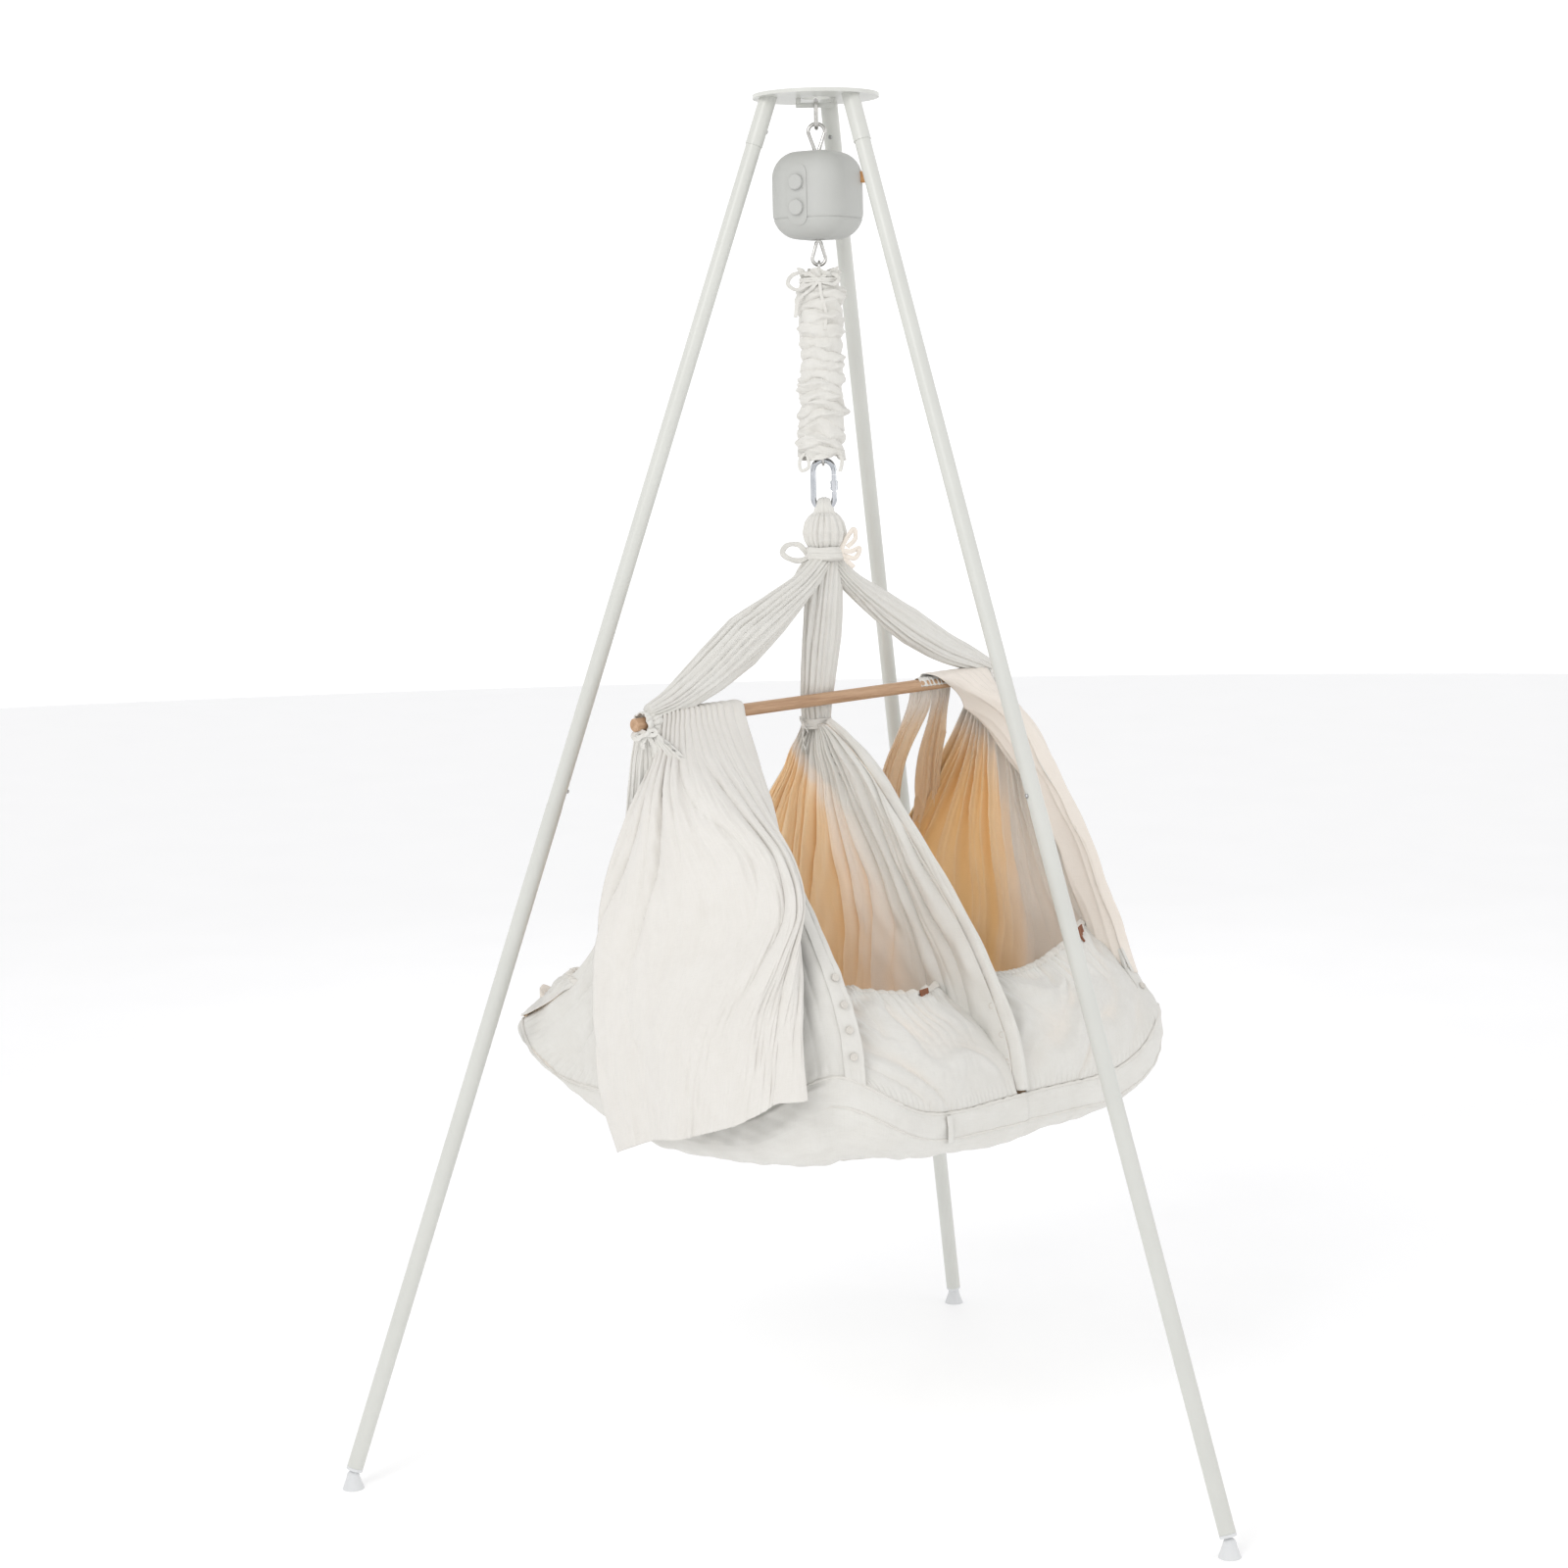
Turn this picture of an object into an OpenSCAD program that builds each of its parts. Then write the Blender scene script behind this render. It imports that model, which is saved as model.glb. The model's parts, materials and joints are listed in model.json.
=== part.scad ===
// Twin baby swing: two fabric cradle compartments on a spring and a rocking motor,
// hung from a three-legged tube stand. Origin: on the floor, on the stand's axis.
// X runs along the wooden spreader bar, Z is up.

/* [Stand] */
// Height of the top plate's upper face
stand_h = 1900; // [1850:5:1950]
// Distance of a leg's axis from the centre where the leg meets the top plate
leg_top_r = 67; // [60:1:72]
// Distance of a leg's axis from the centre at the tube's lower end
leg_foot_r = 698; // [690:1:720]
// Diameter of the top plate
plate_d = 174; // [168:1:190]
// Thickness of the top plate
plate_t = 5; // [4:0.5:6]
// Diameter of the hole in the top plate
plate_hole_d = 40; // [38:1:44]
// Outer diameter of the upper leg tubes
upper_tube_d = 21.9; // [21.5:0.1:22.1]
// Outer diameter of the lower leg tubes
lower_tube_d = 22.6; // [22:0.1:24]
// Length of an upper leg tube below the top plate
upper_leg_l = 1012; // [980:1:1040]

/* [Motor] */
// Width of the rocking motor's housing
motor_w = 111; // [106:1:116]
// Height of the rocking motor's housing
motor_h = 119.5; // [114:0.5:124]
// Corner radius of the housing
motor_r = 37; // [32:1:38]
// Height of the housing's middle above the floor
motor_z = 1763.3; // [1763:0.1:1764]
// Direction that the control panel faces, from +X
motor_turn = 195; // [190:1:200]

/* [Cradle] */
// Width of the cradle base along the bar
base_w = 718; // [700:2:724]
// Length of the cradle base across the bar
base_l = 702; // [690:2:706]
// Corner radius of the cradle base
base_r = 120; // [110:1:130]
// Height of the underside of the base above the floor
base_z = 492; // [490:1:494]
// Length of the wooden spreader bar
bar_l = 726; // [722:1:730]
// Diameter of the wooden spreader bar
bar_d = 17.6; // [17:0.1:18]
// Height of the middle of the bar above the floor
bar_z = 1069; // [1067:1:1070]
// Tilt of the bar, +X end up
bar_tilt = 1.5; // [1:0.1:2]

/* [Hidden] */
$fn = 48;
leg_turns = [150, 270, 30];
plate_under_z = stand_h - plate_t;
leg_drop = plate_under_z - 30;
leg_lean = atan((leg_foot_r - leg_top_r) / leg_drop);
leg_l = leg_drop / cos(leg_lean);
socket_d = 24;
socket_l = 68;
tube_wall = 1.2;
spigot_d = upper_tube_d - 2 * tube_wall - 0.1;
spigot_l = 45;
upper_leg_start = 8;
top_button_s = 45;
mid_button_s = upper_leg_l - 24;
button_d = 6;
button_reach = 13.2;
foot_neck_d = 18;
foot_skirt_d = 30;
foot_h = 17;
// Turn of each middle snap button about its leg, from facing the stand's axis
mid_button_turns = [0, -75, 0];

// Everything that hangs is built round this turn, the links' own facing direction
link_turn = -45;
hook_z = 1885.7;
hook_d = 7;
hook_half = 24;
top_link_d = 6;
top_link_w = 14;
top_link_top_z = hook_z + hook_d / 2 + 0.3 + top_link_d / 2;
top_link_low_z = 1854.7;
eye_d = 5;
eye_top_z = top_link_low_z + top_link_d / 2 + 0.3 + eye_d / 2;
motor_top_z = motor_z + motor_h / 2;
motor_low_z = motor_z - motor_h / 2;
parting_z = 1731;
shell_t = 2.5;
panel_w = 31;
panel_h = 83;
panel_z = 1762;
knob_d = 21;
knob_h = 5;
knob_z = [1778.5, 1744.5];
low_eye_z = 1671.5;
spring_top_z = 1643;
spring_low_z = 1420;
spring_d = 44;
spring_wire = 4;
sleeve_d = 63;
sleeve_top_z = 1654;
sleeve_low_z = 1408;
clip_d = 8;
clip_w = 29;
clip_top_z = 1401;
clip_low_z = 1334;

// Fabric
tie_z = 1260;
tie_h = 21;
strand_w = 46;
strand_t = 20;
strand_back = 24;
panel_t = 10;
wall_x = 342;
wall_top_half = 30;
wall_low_half = 300;
wall_knee_z = 622;
band_top_z = 571;
cover_t = 3;
mattress_t = 48;
divider_top_z = 1026;

// ---------- placing ----------

// Local +Z runs down the leg from the top plate, local +X faces the stand's axis
module on_leg(i) {
    rotate([0, 0, leg_turns[i]])
        translate([leg_top_r, 0, plate_under_z])
            rotate([0, 180 - leg_lean, 0])
                children();
}

module on_link() {
    rotate([0, 0, link_turn]) children();
}

module on_motor() {
    rotate([0, 0, motor_turn]) children();
}

module on_bar() {
    translate([0, 0, bar_z]) rotate([0, -bar_tilt, 0]) children();
}

module tube(d, wall, length) {
    difference() {
        cylinder(d = d, h = length);
        translate([0, 0, -1]) cylinder(d = d - 2 * wall, h = length + 2);
    }
}

// ---------- stand ----------

module top_plate() {
    color("ivory")
        translate([0, 0, plate_under_z])
            difference() {
                cylinder(d = plate_d, h = plate_t);
                translate([0, 0, -1]) cylinder(d = plate_hole_d, h = plate_t + 2);
            }
}

// Welded staple under the plate that the top carabiner hangs from
module hook_bar() {
    color("ivory")
        on_link() {
            translate([-hook_half - hook_d / 2, 0, hook_z])
                rotate([0, 90, 0])
                    cylinder(d = hook_d, h = 2 * hook_half + hook_d);
            for (side = [-1, 1])
                translate([side * hook_half, 0, hook_z])
                    cylinder(d = hook_d, h = plate_under_z - hook_z);
        }
}

// Space above the underside of the plate, which trims the slanted tubes flush with it
module above_plate() {
    translate([-150, -150, plate_under_z]) cube([300, 300, 60]);
}

module leg_socket(i) {
    color("ivory")
        difference() {
            on_leg(i)
                difference() {
                    translate([0, 0, -20]) tube(socket_d, (socket_d - upper_tube_d) / 2 - 0.04, socket_l + 20);
                    button_hole(top_button_s, 0);
                }
            above_plate();
        }
}

module button_hole(s, turn) {
    translate([0, 0, s])
        rotate([0, 90, turn])
            cylinder(d = button_d + 0.1, h = 20);
}

module upper_leg(i) {
    color("ivory")
        on_leg(i)
            difference() {
                translate([0, 0, upper_leg_start]) tube(upper_tube_d, tube_wall, upper_leg_l - upper_leg_start);
                button_hole(top_button_s, 0);
                button_hole(mid_button_s, mid_button_turns[i]);
            }
}

module lower_leg(i) {
    color("ivory")
        on_leg(i)
            difference() {
                union() {
                    translate([0, 0, upper_leg_l]) tube(lower_tube_d, tube_wall, leg_l - upper_leg_l);
                    translate([0, 0, upper_leg_l - spigot_l]) tube(spigot_d, tube_wall, spigot_l);
                    translate([0, 0, upper_leg_l])
                        tube(lower_tube_d - 2 * tube_wall, (lower_tube_d - spigot_d) / 2, 6);
                }
                button_hole(mid_button_s, mid_button_turns[i]);
            }
}

// Rubber foot, flat on the floor and plugged into the slanted tube
module foot(i) {
    turn = leg_turns[i];
    axis_r = leg_foot_r + 10 * tan(leg_lean);
    color("white")
        difference() {
            union() {
                rotate([0, 0, turn])
                    translate([axis_r, 0, 0]) {
                        cylinder(d1 = foot_skirt_d, d2 = foot_skirt_d - 3, h = 4);
                        translate([0, 0, 4]) cylinder(d1 = foot_skirt_d - 3, d2 = foot_neck_d, h = foot_h - 4);
                        translate([0, 0, foot_h]) sphere(d = foot_neck_d);
                    }
                on_leg(i) translate([0, 0, leg_l - 22])
                    cylinder(d = lower_tube_d - 2 * tube_wall - 0.1, h = 24);
                on_leg(i) translate([0, 0, leg_l + 0.2]) cylinder(d = lower_tube_d, h = 4);
            }
            translate([-900, -900, -50]) cube([1800, 1800, 50]);
        }
}

// Round snap button that stands through the tube walls and can be pressed in
module snap_button(i, s, turn) {
    color("silver")
        on_leg(i)
            translate([0, 0, s])
                rotate([0, 90, turn]) {
                    translate([0, 0, 5]) cylinder(d = button_d, h = button_reach - 5 - 1);
                    translate([0, 0, button_reach - 1]) cylinder(d1 = button_d, d2 = button_d - 2, h = 1);
                    translate([0, 0, 5]) cylinder(d = button_d + 2, h = 1.2);
                }
}

// Leaf springs behind the six snap buttons
module snap_springs() {
    color("silver")
        for (i = [0:2])
            on_leg(i)
                for (at = [[top_button_s, 0], [mid_button_s, mid_button_turns[i]]])
                    rotate([0, 0, at[1]])
                        translate([-6, -3.5, at[0] - 14]) cube([0.8, 7, 28]);
}

// ---------- links ----------

// Half ring in the local XZ plane, open side down
module half_ring(w, d) {
    rotate([90, 0, 0])
        rotate_extrude(angle = 180)
            translate([w / 2, 0]) circle(d = d);
}

// Carabiner body in the local XZ plane. Its gate goes on the +X side, from hinge_z to nose_z.
module carabiner_body(w, d, top_z, low_z, hinge_z, nose_z, nose_d) {
    top_arc_z = top_z - w / 2;
    low_arc_z = low_z + w / 2;
    translate([0, 0, top_arc_z]) half_ring(w, d);
    translate([0, 0, low_arc_z]) rotate([0, 180, 0]) half_ring(w, d);
    translate([-w / 2, 0, low_arc_z]) cylinder(d = d, h = top_arc_z - low_arc_z);
    translate([w / 2, 0, nose_z]) cylinder(d = nose_d, h = top_arc_z - nose_z);
    difference() {
        translate([w / 2, 0, low_arc_z]) cylinder(d = d, h = hinge_z - low_arc_z + d / 2 - 0.5);
        translate([w / 2 - d, -d / 4, hinge_z - d / 2 - 0.4]) cube([2 * d, d / 2, 2 * d]);
        gate_pin_hole(w, d, hinge_z);
    }
}

module gate_pin_hole(w, d, hinge_z) {
    translate([w / 2, d, hinge_z]) rotate([90, 0, 0]) cylinder(d = d / 4, h = 2 * d);
}

// Gate with a tongue in the body's fork and its own hinge pin
module gate_bar(w, d, hinge_z, nose_z, bar_diameter) {
    tongue_t = d / 2 - 0.3;
    start_z = hinge_z + 0.7 * d;
    translate([w / 2, 0, start_z]) cylinder(d = bar_diameter, h = nose_z - 0.4 - start_z);
    translate([w / 2, tongue_t / 2, hinge_z]) rotate([90, 0, 0]) cylinder(d = d * 0.8, h = tongue_t);
    translate([w / 2 - d * 0.3, -tongue_t / 2, hinge_z]) cube([d * 0.6, tongue_t, 0.7 * d + 1]);
    translate([w / 2, d * 0.45, hinge_z]) rotate([90, 0, 0]) cylinder(d = d / 4 - 0.1, h = d * 0.9);
}

module top_carabiner() {
    color("silver")
        on_link() rotate([0, 0, 90])
            carabiner_body(top_link_w, top_link_d, top_link_top_z, top_link_low_z, 1864.5, 1882, 4);
}

module top_gate() {
    color("silver")
        on_link() rotate([0, 0, 90])
            gate_bar(top_link_w, top_link_d, 1864.5, 1882, 5);
}

// Closed wire eye in the local XZ plane: round end, two slanted arms and a stem
module wire_eye(ring_w, d, ring_z, neck_z, neck_half) {
    lean = atan((ring_w / 2 - neck_half) / abs(neck_z - ring_z));
    arm_l = (ring_w / 2 - neck_half) / sin(lean);
    up = ring_z > neck_z ? 0 : 180;
    translate([0, 0, ring_z]) rotate([0, up, 0]) half_ring(ring_w, d);
    for (side = [-1, 1])
        translate([side * ring_w / 2, 0, ring_z]) {
            sphere(d = d);
            rotate([0, (up == 0 ? 180 + side * lean : -side * lean), 0]) cylinder(d = d, h = arm_l);
        }
}

module motor_eye() {
    ring_w = 23;
    color("silver")
        on_link() {
            wire_eye(ring_w, eye_d, eye_top_z - ring_w / 2, motor_top_z + 1, 2.6);
            translate([0, 0, motor_top_z - 14]) cylinder(d = 8, h = 15);
            translate([0, 0, motor_top_z - 14]) cylinder(d = 16, h = 4);
        }
}

// ---------- motor ----------

module rounded_rect(w, h, r) {
    for (x = [-1, 1], y = [-1, 1])
        translate([x * (w / 2 - r), y * (h / 2 - r)]) circle(r = r);
    square([w - 2 * r, h], center = true);
    square([w, h - 2 * r], center = true);
}

// Block rounded along all its edges, centred on the origin
module rounded_block(w, h, r) {
    intersection() {
        translate([0, 0, -h / 2]) linear_extrude(h) rounded_rect(w, w, r);
        rotate([90, 0, 0]) translate([0, 0, -w / 2]) linear_extrude(w) rounded_rect(w, h, r);
        rotate([90, 0, 90]) translate([0, 0, -w / 2]) linear_extrude(w) rounded_rect(w, h, r);
    }
}

module motor_hollow() {
    difference() {
        rounded_block(motor_w, motor_h, motor_r);
        rounded_block(motor_w - 2 * shell_t, motor_h - 2 * shell_t, motor_r - shell_t);
    }
}

module motor_shell() {
    color("gainsboro")
        on_motor()
            translate([0, 0, motor_z])
                difference() {
                    motor_hollow();
                    translate([-motor_w, -motor_w, -motor_h]) cube([2 * motor_w, 2 * motor_w, parting_z - motor_z + motor_h]);
                    cylinder(d = 8.1, h = motor_h);
                    for (z = knob_z)
                        translate([0, 0, z - motor_z]) rotate([0, 90, 0]) cylinder(d = 6.2, h = motor_w);
                }
}

module motor_base() {
    color("gainsboro")
        on_motor()
            translate([0, 0, motor_z])
                difference() {
                    motor_hollow();
                    translate([-motor_w, -motor_w, parting_z - motor_z - 0.2]) cube(2 * motor_w);
                    translate([0, 0, -motor_h]) cylinder(d = 8.1, h = motor_h);
                    translate([-motor_w / 2 - 5, 0, 1723 - motor_z]) rotate([0, 90, 0]) cylinder(d = 10.2, h = 20);
                }
}

// Thin stadium plate that follows the housing's front
module control_panel() {
    color("gainsboro")
        on_motor()
            difference() {
                intersection() {
                    translate([0, 0, motor_z]) rounded_block(motor_w + 2.4, motor_h + 2.4, motor_r + 1.2);
                    translate([motor_w / 4, 0, panel_z]) rotate([0, 90, 0]) stadium(panel_h, panel_w, motor_w / 2);
                }
                translate([0, 0, motor_z]) rounded_block(motor_w + 0.2, motor_h + 0.2, motor_r + 0.1);
                for (z = knob_z)
                    translate([0, 0, z]) rotate([0, 90, 0]) cylinder(d = 6.2, h = motor_w);
                translate([0, 9.5, 1770]) rotate([0, 90, 0]) cylinder(d = 2.6, h = motor_w);
            }
}

module stadium(length, width, h) {
    for (side = [-1, 1])
        translate([side * (length - width) / 2, 0, 0]) cylinder(d = width, h = h);
    translate([-(length - width) / 2, -width / 2, 0]) cube([length - width, width, h]);
}

module knob(i) {
    face_x = motor_w / 2 + 1.5;
    color("whitesmoke")
        on_motor()
            translate([0, 0, knob_z[i]])
                rotate([0, 90, 0]) {
                    translate([0, 0, face_x]) cylinder(d = knob_d, h = knob_h - 1);
                    translate([0, 0, face_x + knob_h - 1]) cylinder(d1 = knob_d, d2 = knob_d - 2, h = 1);
                    translate([0, 0, face_x - 14]) cylinder(d = 6.1, h = 14);
                }
}

module status_lens() {
    color("white")
        on_motor()
            translate([motor_w / 2 + 0.2, 9.5, 1770]) rotate([0, 90, 0]) cylinder(d = 2.4, h = 1);
}

module power_inlet() {
    color("dimgray")
        on_motor()
            translate([-motor_w / 2 + 0.9, 0, 1723])
                rotate([0, 90, 0])
                    difference() {
                        cylinder(d = 10, h = 11);
                        translate([0, 0, -1]) cylinder(d = 5.5, h = 10);
                    }
}

module circuit_board() {
    color("darkgreen")
        on_motor()
            translate([31, -18, 1737]) cube([1.6, 36, 50]);
}

// Geared motor that lies over the drum
module gearmotor() {
    color("dimgray")
        on_motor()
            translate([-16, 12, 1752]) {
                rotate([-90, 0, 0]) cylinder(d = 36, h = 26);
                translate([0, -16, 0]) rotate([-90, 0, 0]) cylinder(d = 6, h = 16);
                translate([-8, 26, -8]) cube([16, 6, 16]);
            }
}

// Drum on the gearmotor's shaft; its strap lifts and lowers the stroke rod
module winding_drum() {
    color("whitesmoke")
        on_motor()
            translate([-16, -8, 1752])
                rotate([-90, 0, 0])
                    difference() {
                        union() {
                            cylinder(d = 24, h = 16);
                            cylinder(d = 30, h = 2);
                            translate([0, 0, 14]) cylinder(d = 30, h = 2);
                        }
                        translate([0, 0, -1]) cylinder(d = 6.1, h = 18);
                    }
}

// Rod that slides through the base, with the lower wire eye on its end
module stroke_rod() {
    ring_w = 18.5;
    color("silver") {
        on_link()
            wire_eye(ring_w, eye_d, low_eye_z + ring_w / 2 - 2.5, motor_low_z - 3, 2.6);
        translate([0, 0, motor_low_z - 4]) cylinder(d = 8, h = 34);
        translate([0, 0, motor_low_z + 30]) cylinder(d = 14, h = 3);
    }
}

// ---------- spring ----------

module spring_hook_top() {
    ring_w = 15;
    color("silver")
        on_link() rotate([0, 0, 90]) {
            translate([0, 0, low_eye_z + 0.3 + eye_d / 2 - ring_w / 2 + spring_wire / 2 - 2.5]) {
                half_ring(ring_w, spring_wire);
                for (side = [-1, 1])
                    translate([side * ring_w / 2, 0, -18]) cylinder(d = spring_wire, h = 18);
            }
            translate([0, 0, spring_top_z - 1]) cylinder(d = spring_d - 2, h = 4);
        }
}

// Closed coil spring: a ridged tube with one ridge to each turn
module spring() {
    turns = floor((spring_top_z - spring_low_z - 1) / spring_wire);
    color("silver")
        translate([0, 0, spring_low_z])
            rotate_extrude()
                for (i = [0:turns - 1])
                    translate([spring_d / 2 - spring_wire, i * spring_wire])
                        polygon([[0, 0], [spring_wire * 0.8, 0], [spring_wire, spring_wire / 2],
                            [spring_wire * 0.8, spring_wire], [0, spring_wire]]);
}

// Gathered fabric sleeve over the spring
module spring_sleeve() {
    gathers = 13;
    pitch = (sleeve_top_z - sleeve_low_z) / gathers;
    color("linen")
        translate([0, 0, sleeve_low_z])
            rotate_extrude()
                for (i = [0:gathers - 1])
                    translate([0, i * pitch])
                        polygon([[spring_d / 2 + 2, 0], [sleeve_d / 2 - 4, 0], [sleeve_d / 2, pitch * 0.4],
                            [sleeve_d / 2 - 1, pitch * 0.7], [sleeve_d / 2 - 4, pitch], [spring_d / 2 + 2, pitch]]);
}

module spring_hook_low() {
    ring_w = 16;
    hook_low_z = clip_top_z - clip_d / 2 - 0.3 - spring_wire / 2;
    color("silver")
        on_link() rotate([0, 0, 90]) {
            translate([0, 0, hook_low_z + ring_w / 2]) {
                rotate([0, 180, 0]) half_ring(ring_w, spring_wire);
                for (side = [-1, 1])
                    translate([side * ring_w / 2, 0, 0]) cylinder(d = spring_wire, h = spring_low_z - 2 - hook_low_z - ring_w / 2);
            }
            translate([0, 0, spring_low_z - 4]) cylinder(d = spring_d - 2, h = 3.6);
        }
}

module carabiner() {
    color("gray")
        on_link()
            carabiner_body(clip_w, clip_d, clip_top_z, clip_low_z, 1353, 1381, 6.8);
}

module carabiner_gate() {
    color("gray")
        on_link()
            gate_bar(clip_w, clip_d, 1353, 1381, 7);
}

// Knurled sleeve that slides over the nose to lock the gate
module lock_sleeve() {
    color("dimgray")
        on_link()
            translate([clip_w / 2, 0, 1359.5])
                difference() {
                    union() {
                        cylinder(d = 10, h = 13);
                        for (z = [1, 9]) translate([0, 0, z]) cylinder(d = 11, h = 3);
                    }
                    translate([0, 0, -1]) cylinder(d = 7.1, h = 15);
                }
}

// ---------- cradle ----------

// Fabric loop over the carabiner's lower bend, and the gathered head under it
module head_loop() {
    arch_w = 11;
    arch_in = clip_d / 2 + 2;
    arch_out = 15.6;
    foot_z = clip_low_z - clip_d / 2 - 0.8;
    color("linen")
        on_link() {
            translate([0, 0, clip_low_z])
                rotate([90, 0, 90])
                    rotate_extrude(angle = 180)
                        translate([arch_in, -arch_w / 2]) square([arch_out - arch_in, arch_w]);
            for (side = [-1, 1])
                translate([-arch_w / 2, side * (arch_in + arch_out) / 2 - (arch_out - arch_in) / 2, foot_z])
                    cube([arch_w, arch_out - arch_in, clip_low_z - foot_z]);
            rotate_extrude()
                polygon([[0, tie_z], [20, tie_z], [20, tie_z + tie_h], [28, tie_z + tie_h + 8],
                    [30, tie_z + tie_h + 20], [29, foot_z - 14], [24, foot_z - 4], [16, foot_z], [0, foot_z]]);
        }
}

module head_tie() {
    color("linen")
        translate([0, 0, tie_z])
            difference() {
                cylinder(d = 50, h = tie_h);
                translate([0, 0, -1]) cylinder(d = 40, h = tie_h + 2);
            }
}

module strand_section(w, t) {
    for (side = [-1, 1])
        translate([side * (w - t) / 2, 0]) circle(d = t);
    square([w - t, t], center = true);
}

// Gathered centre strand, which passes behind the bar
module centre_strand() {
    low_z = 1042;
    lean = atan(strand_back / (tie_z - low_z));
    color("linen")
        intersection() {
            translate([0, 0, tie_z - 1])
                rotate([180 - lean, 0, 0])
                    translate([0, 0, -20])
                        linear_extrude(300) strand_section(strand_w, strand_t - 4);
            translate([-50, -50, low_z]) cube([100, 150, tie_z - 1 - low_z]);
        }
}

// Side strand from the tie to one end of the bar; side is -1 or 1
module side_strand(side) {
    start = [side * 34, 0, 1238];
    end = [side * 338, 0, bar_z + side * 338 * sin(bar_tilt) + 24];
    drop = start[2] - end[2];
    run = abs(end[0] - start[0]);
    color("linen")
        translate(start)
            rotate([0, side * (90 + atan(drop / run)), 0])
                linear_extrude(sqrt(drop * drop + run * run))
                    rotate(90) strand_section(strand_w, strand_t);
}

module bar_ring(x, length, d) {
    on_bar()
        translate([x - length / 2, 0, 0])
            rotate([0, 90, 0])
                difference() {
                    cylinder(d = d, h = length);
                    translate([0, 0, -1]) cylinder(d = bar_d, h = length + 2);
                }
}

module end_tie(side) {
    color("linen") bar_ring(side * 335, 24, 28);
}

module centre_tie() {
    color("linen")
        translate([0, strand_back, 1028])
            difference() {
                linear_extrude(12) strand_section(strand_w - 2, 26);
                translate([0, 0, -1]) linear_extrude(14) strand_section(strand_w - 8, 20);
            }
}

module spreader_bar() {
    color("burlywood")
        on_bar()
            translate([-bar_l / 2 + 4, 0, 0]) rotate([0, 90, 0]) cylinder(d = bar_d, h = bar_l);
}

// Fan of gathered fabric in the YZ plane, top edge at top_z
module fan(x, t, top_z, top_half, low_half) {
    translate([x - t / 2, 0, 0])
        rotate([90, 0, 90])
            linear_extrude(t)
                polygon([[-top_half, top_z], [top_half, top_z], [low_half, wall_knee_z],
                    [low_half - 30, band_top_z], [30 - low_half, band_top_z], [-low_half, wall_knee_z]]);
}

module side_wall(side) {
    top_z = bar_z + side * 335 * sin(bar_tilt) - 15;
    color("wheat") fan(side * wall_x, panel_t, top_z, wall_top_half, wall_low_half);
}

module divider() {
    color("wheat") fan(0, 2 * panel_t, divider_top_z, wall_top_half, 325);
}

// Sheet between four corner points
module sheet(corners, t) {
    hull()
        for (p = corners) translate(p) sphere(d = t, $fn = 10);
}

// One pouch: side is -1 or 1 in x, front is -1 or 1 in y
module pouch(side, front) {
    low_y = base_l / 2 - 12;
    in_x = 16;
    mid_x = 170;
    out_x = wall_x - 12;
    low = band_top_z + 5;
    mirror([side < 0 ? 1 : 0, 0, 0])
        mirror([0, front < 0 ? 1 : 0, 0]) {
            sheet([[in_x, low_y, low], [mid_x, low_y, low], [in_x, low_y - 120, 683], [mid_x, low_y - 72, 700]], 8);
            sheet([[mid_x, low_y, low], [out_x - 60, low_y, low], [out_x, low_y - 60, 700], [mid_x, low_y - 72, 700],
                [out_x, low_y - 30, 625]], 8);
        }
}

module pouches() {
    color("linen")
        for (side = [-1, 1], front = [-1, 1]) pouch(side, front);
}

// Cover cloth over the bar's left part, falling outside the left wall
module left_drape() {
    out_x = -wall_x - panel_t / 2 - 9;
    over_edge = [out_x, -170, 885];
    color("ivory") {
        sheet([[-310, -16, 1072], [-175, -16, 1075], [-300, -165, 880], over_edge], 9);
        sheet([over_edge, [out_x, -20, 860], [out_x - 21, 10, 490], [out_x - 27, -320, 610],
            [out_x - 27, -322, 640]], 9);
    }
}

// Cover cloth over the bar's right part, gathered down the right side
module right_drape() {
    out_x = wall_x + panel_t / 2 + 9;
    over_edge = [out_x, -130, 950];
    color("ivory") {
        sheet([[210, -16, 1082], [312, -16, 1084], [300, -125, 945], over_edge], 9);
        sheet([over_edge, [out_x, -60, 930], [out_x + 9, -175, 780], [out_x + 12, -120, 780],
            [out_x + 16, -220, 640], [out_x + 16, -140, 640]], 9);
    }
}

module base_outline(inset) {
    x = base_w / 2 - base_r;
    y = base_l / 2 - base_r;
    for (sx = [-1, 1], sy = [-1, 1])
        translate([sx * x, sy * y]) circle(r = base_r - inset, $fn = 64);
    square([2 * x, base_l - 2 * inset], center = true);
    square([base_w - 2 * inset, 2 * y], center = true);
}

module base_cover() {
    color("linen")
        translate([0, 0, base_z])
            difference() {
                linear_extrude(band_top_z - base_z - 0.5) base_outline(0);
                translate([0, 0, cover_t]) linear_extrude(band_top_z) base_outline(cover_t);
            }
}

module mattress(side) {
    color("white")
        intersection() {
            translate([0, 0, base_z + cover_t])
                linear_extrude(mattress_t) base_outline(cover_t + 1);
            translate([side > 0 ? 1 : -base_w, -base_l, base_z]) cube([base_w - 1, 2 * base_l, 200]);
        }
}

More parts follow.
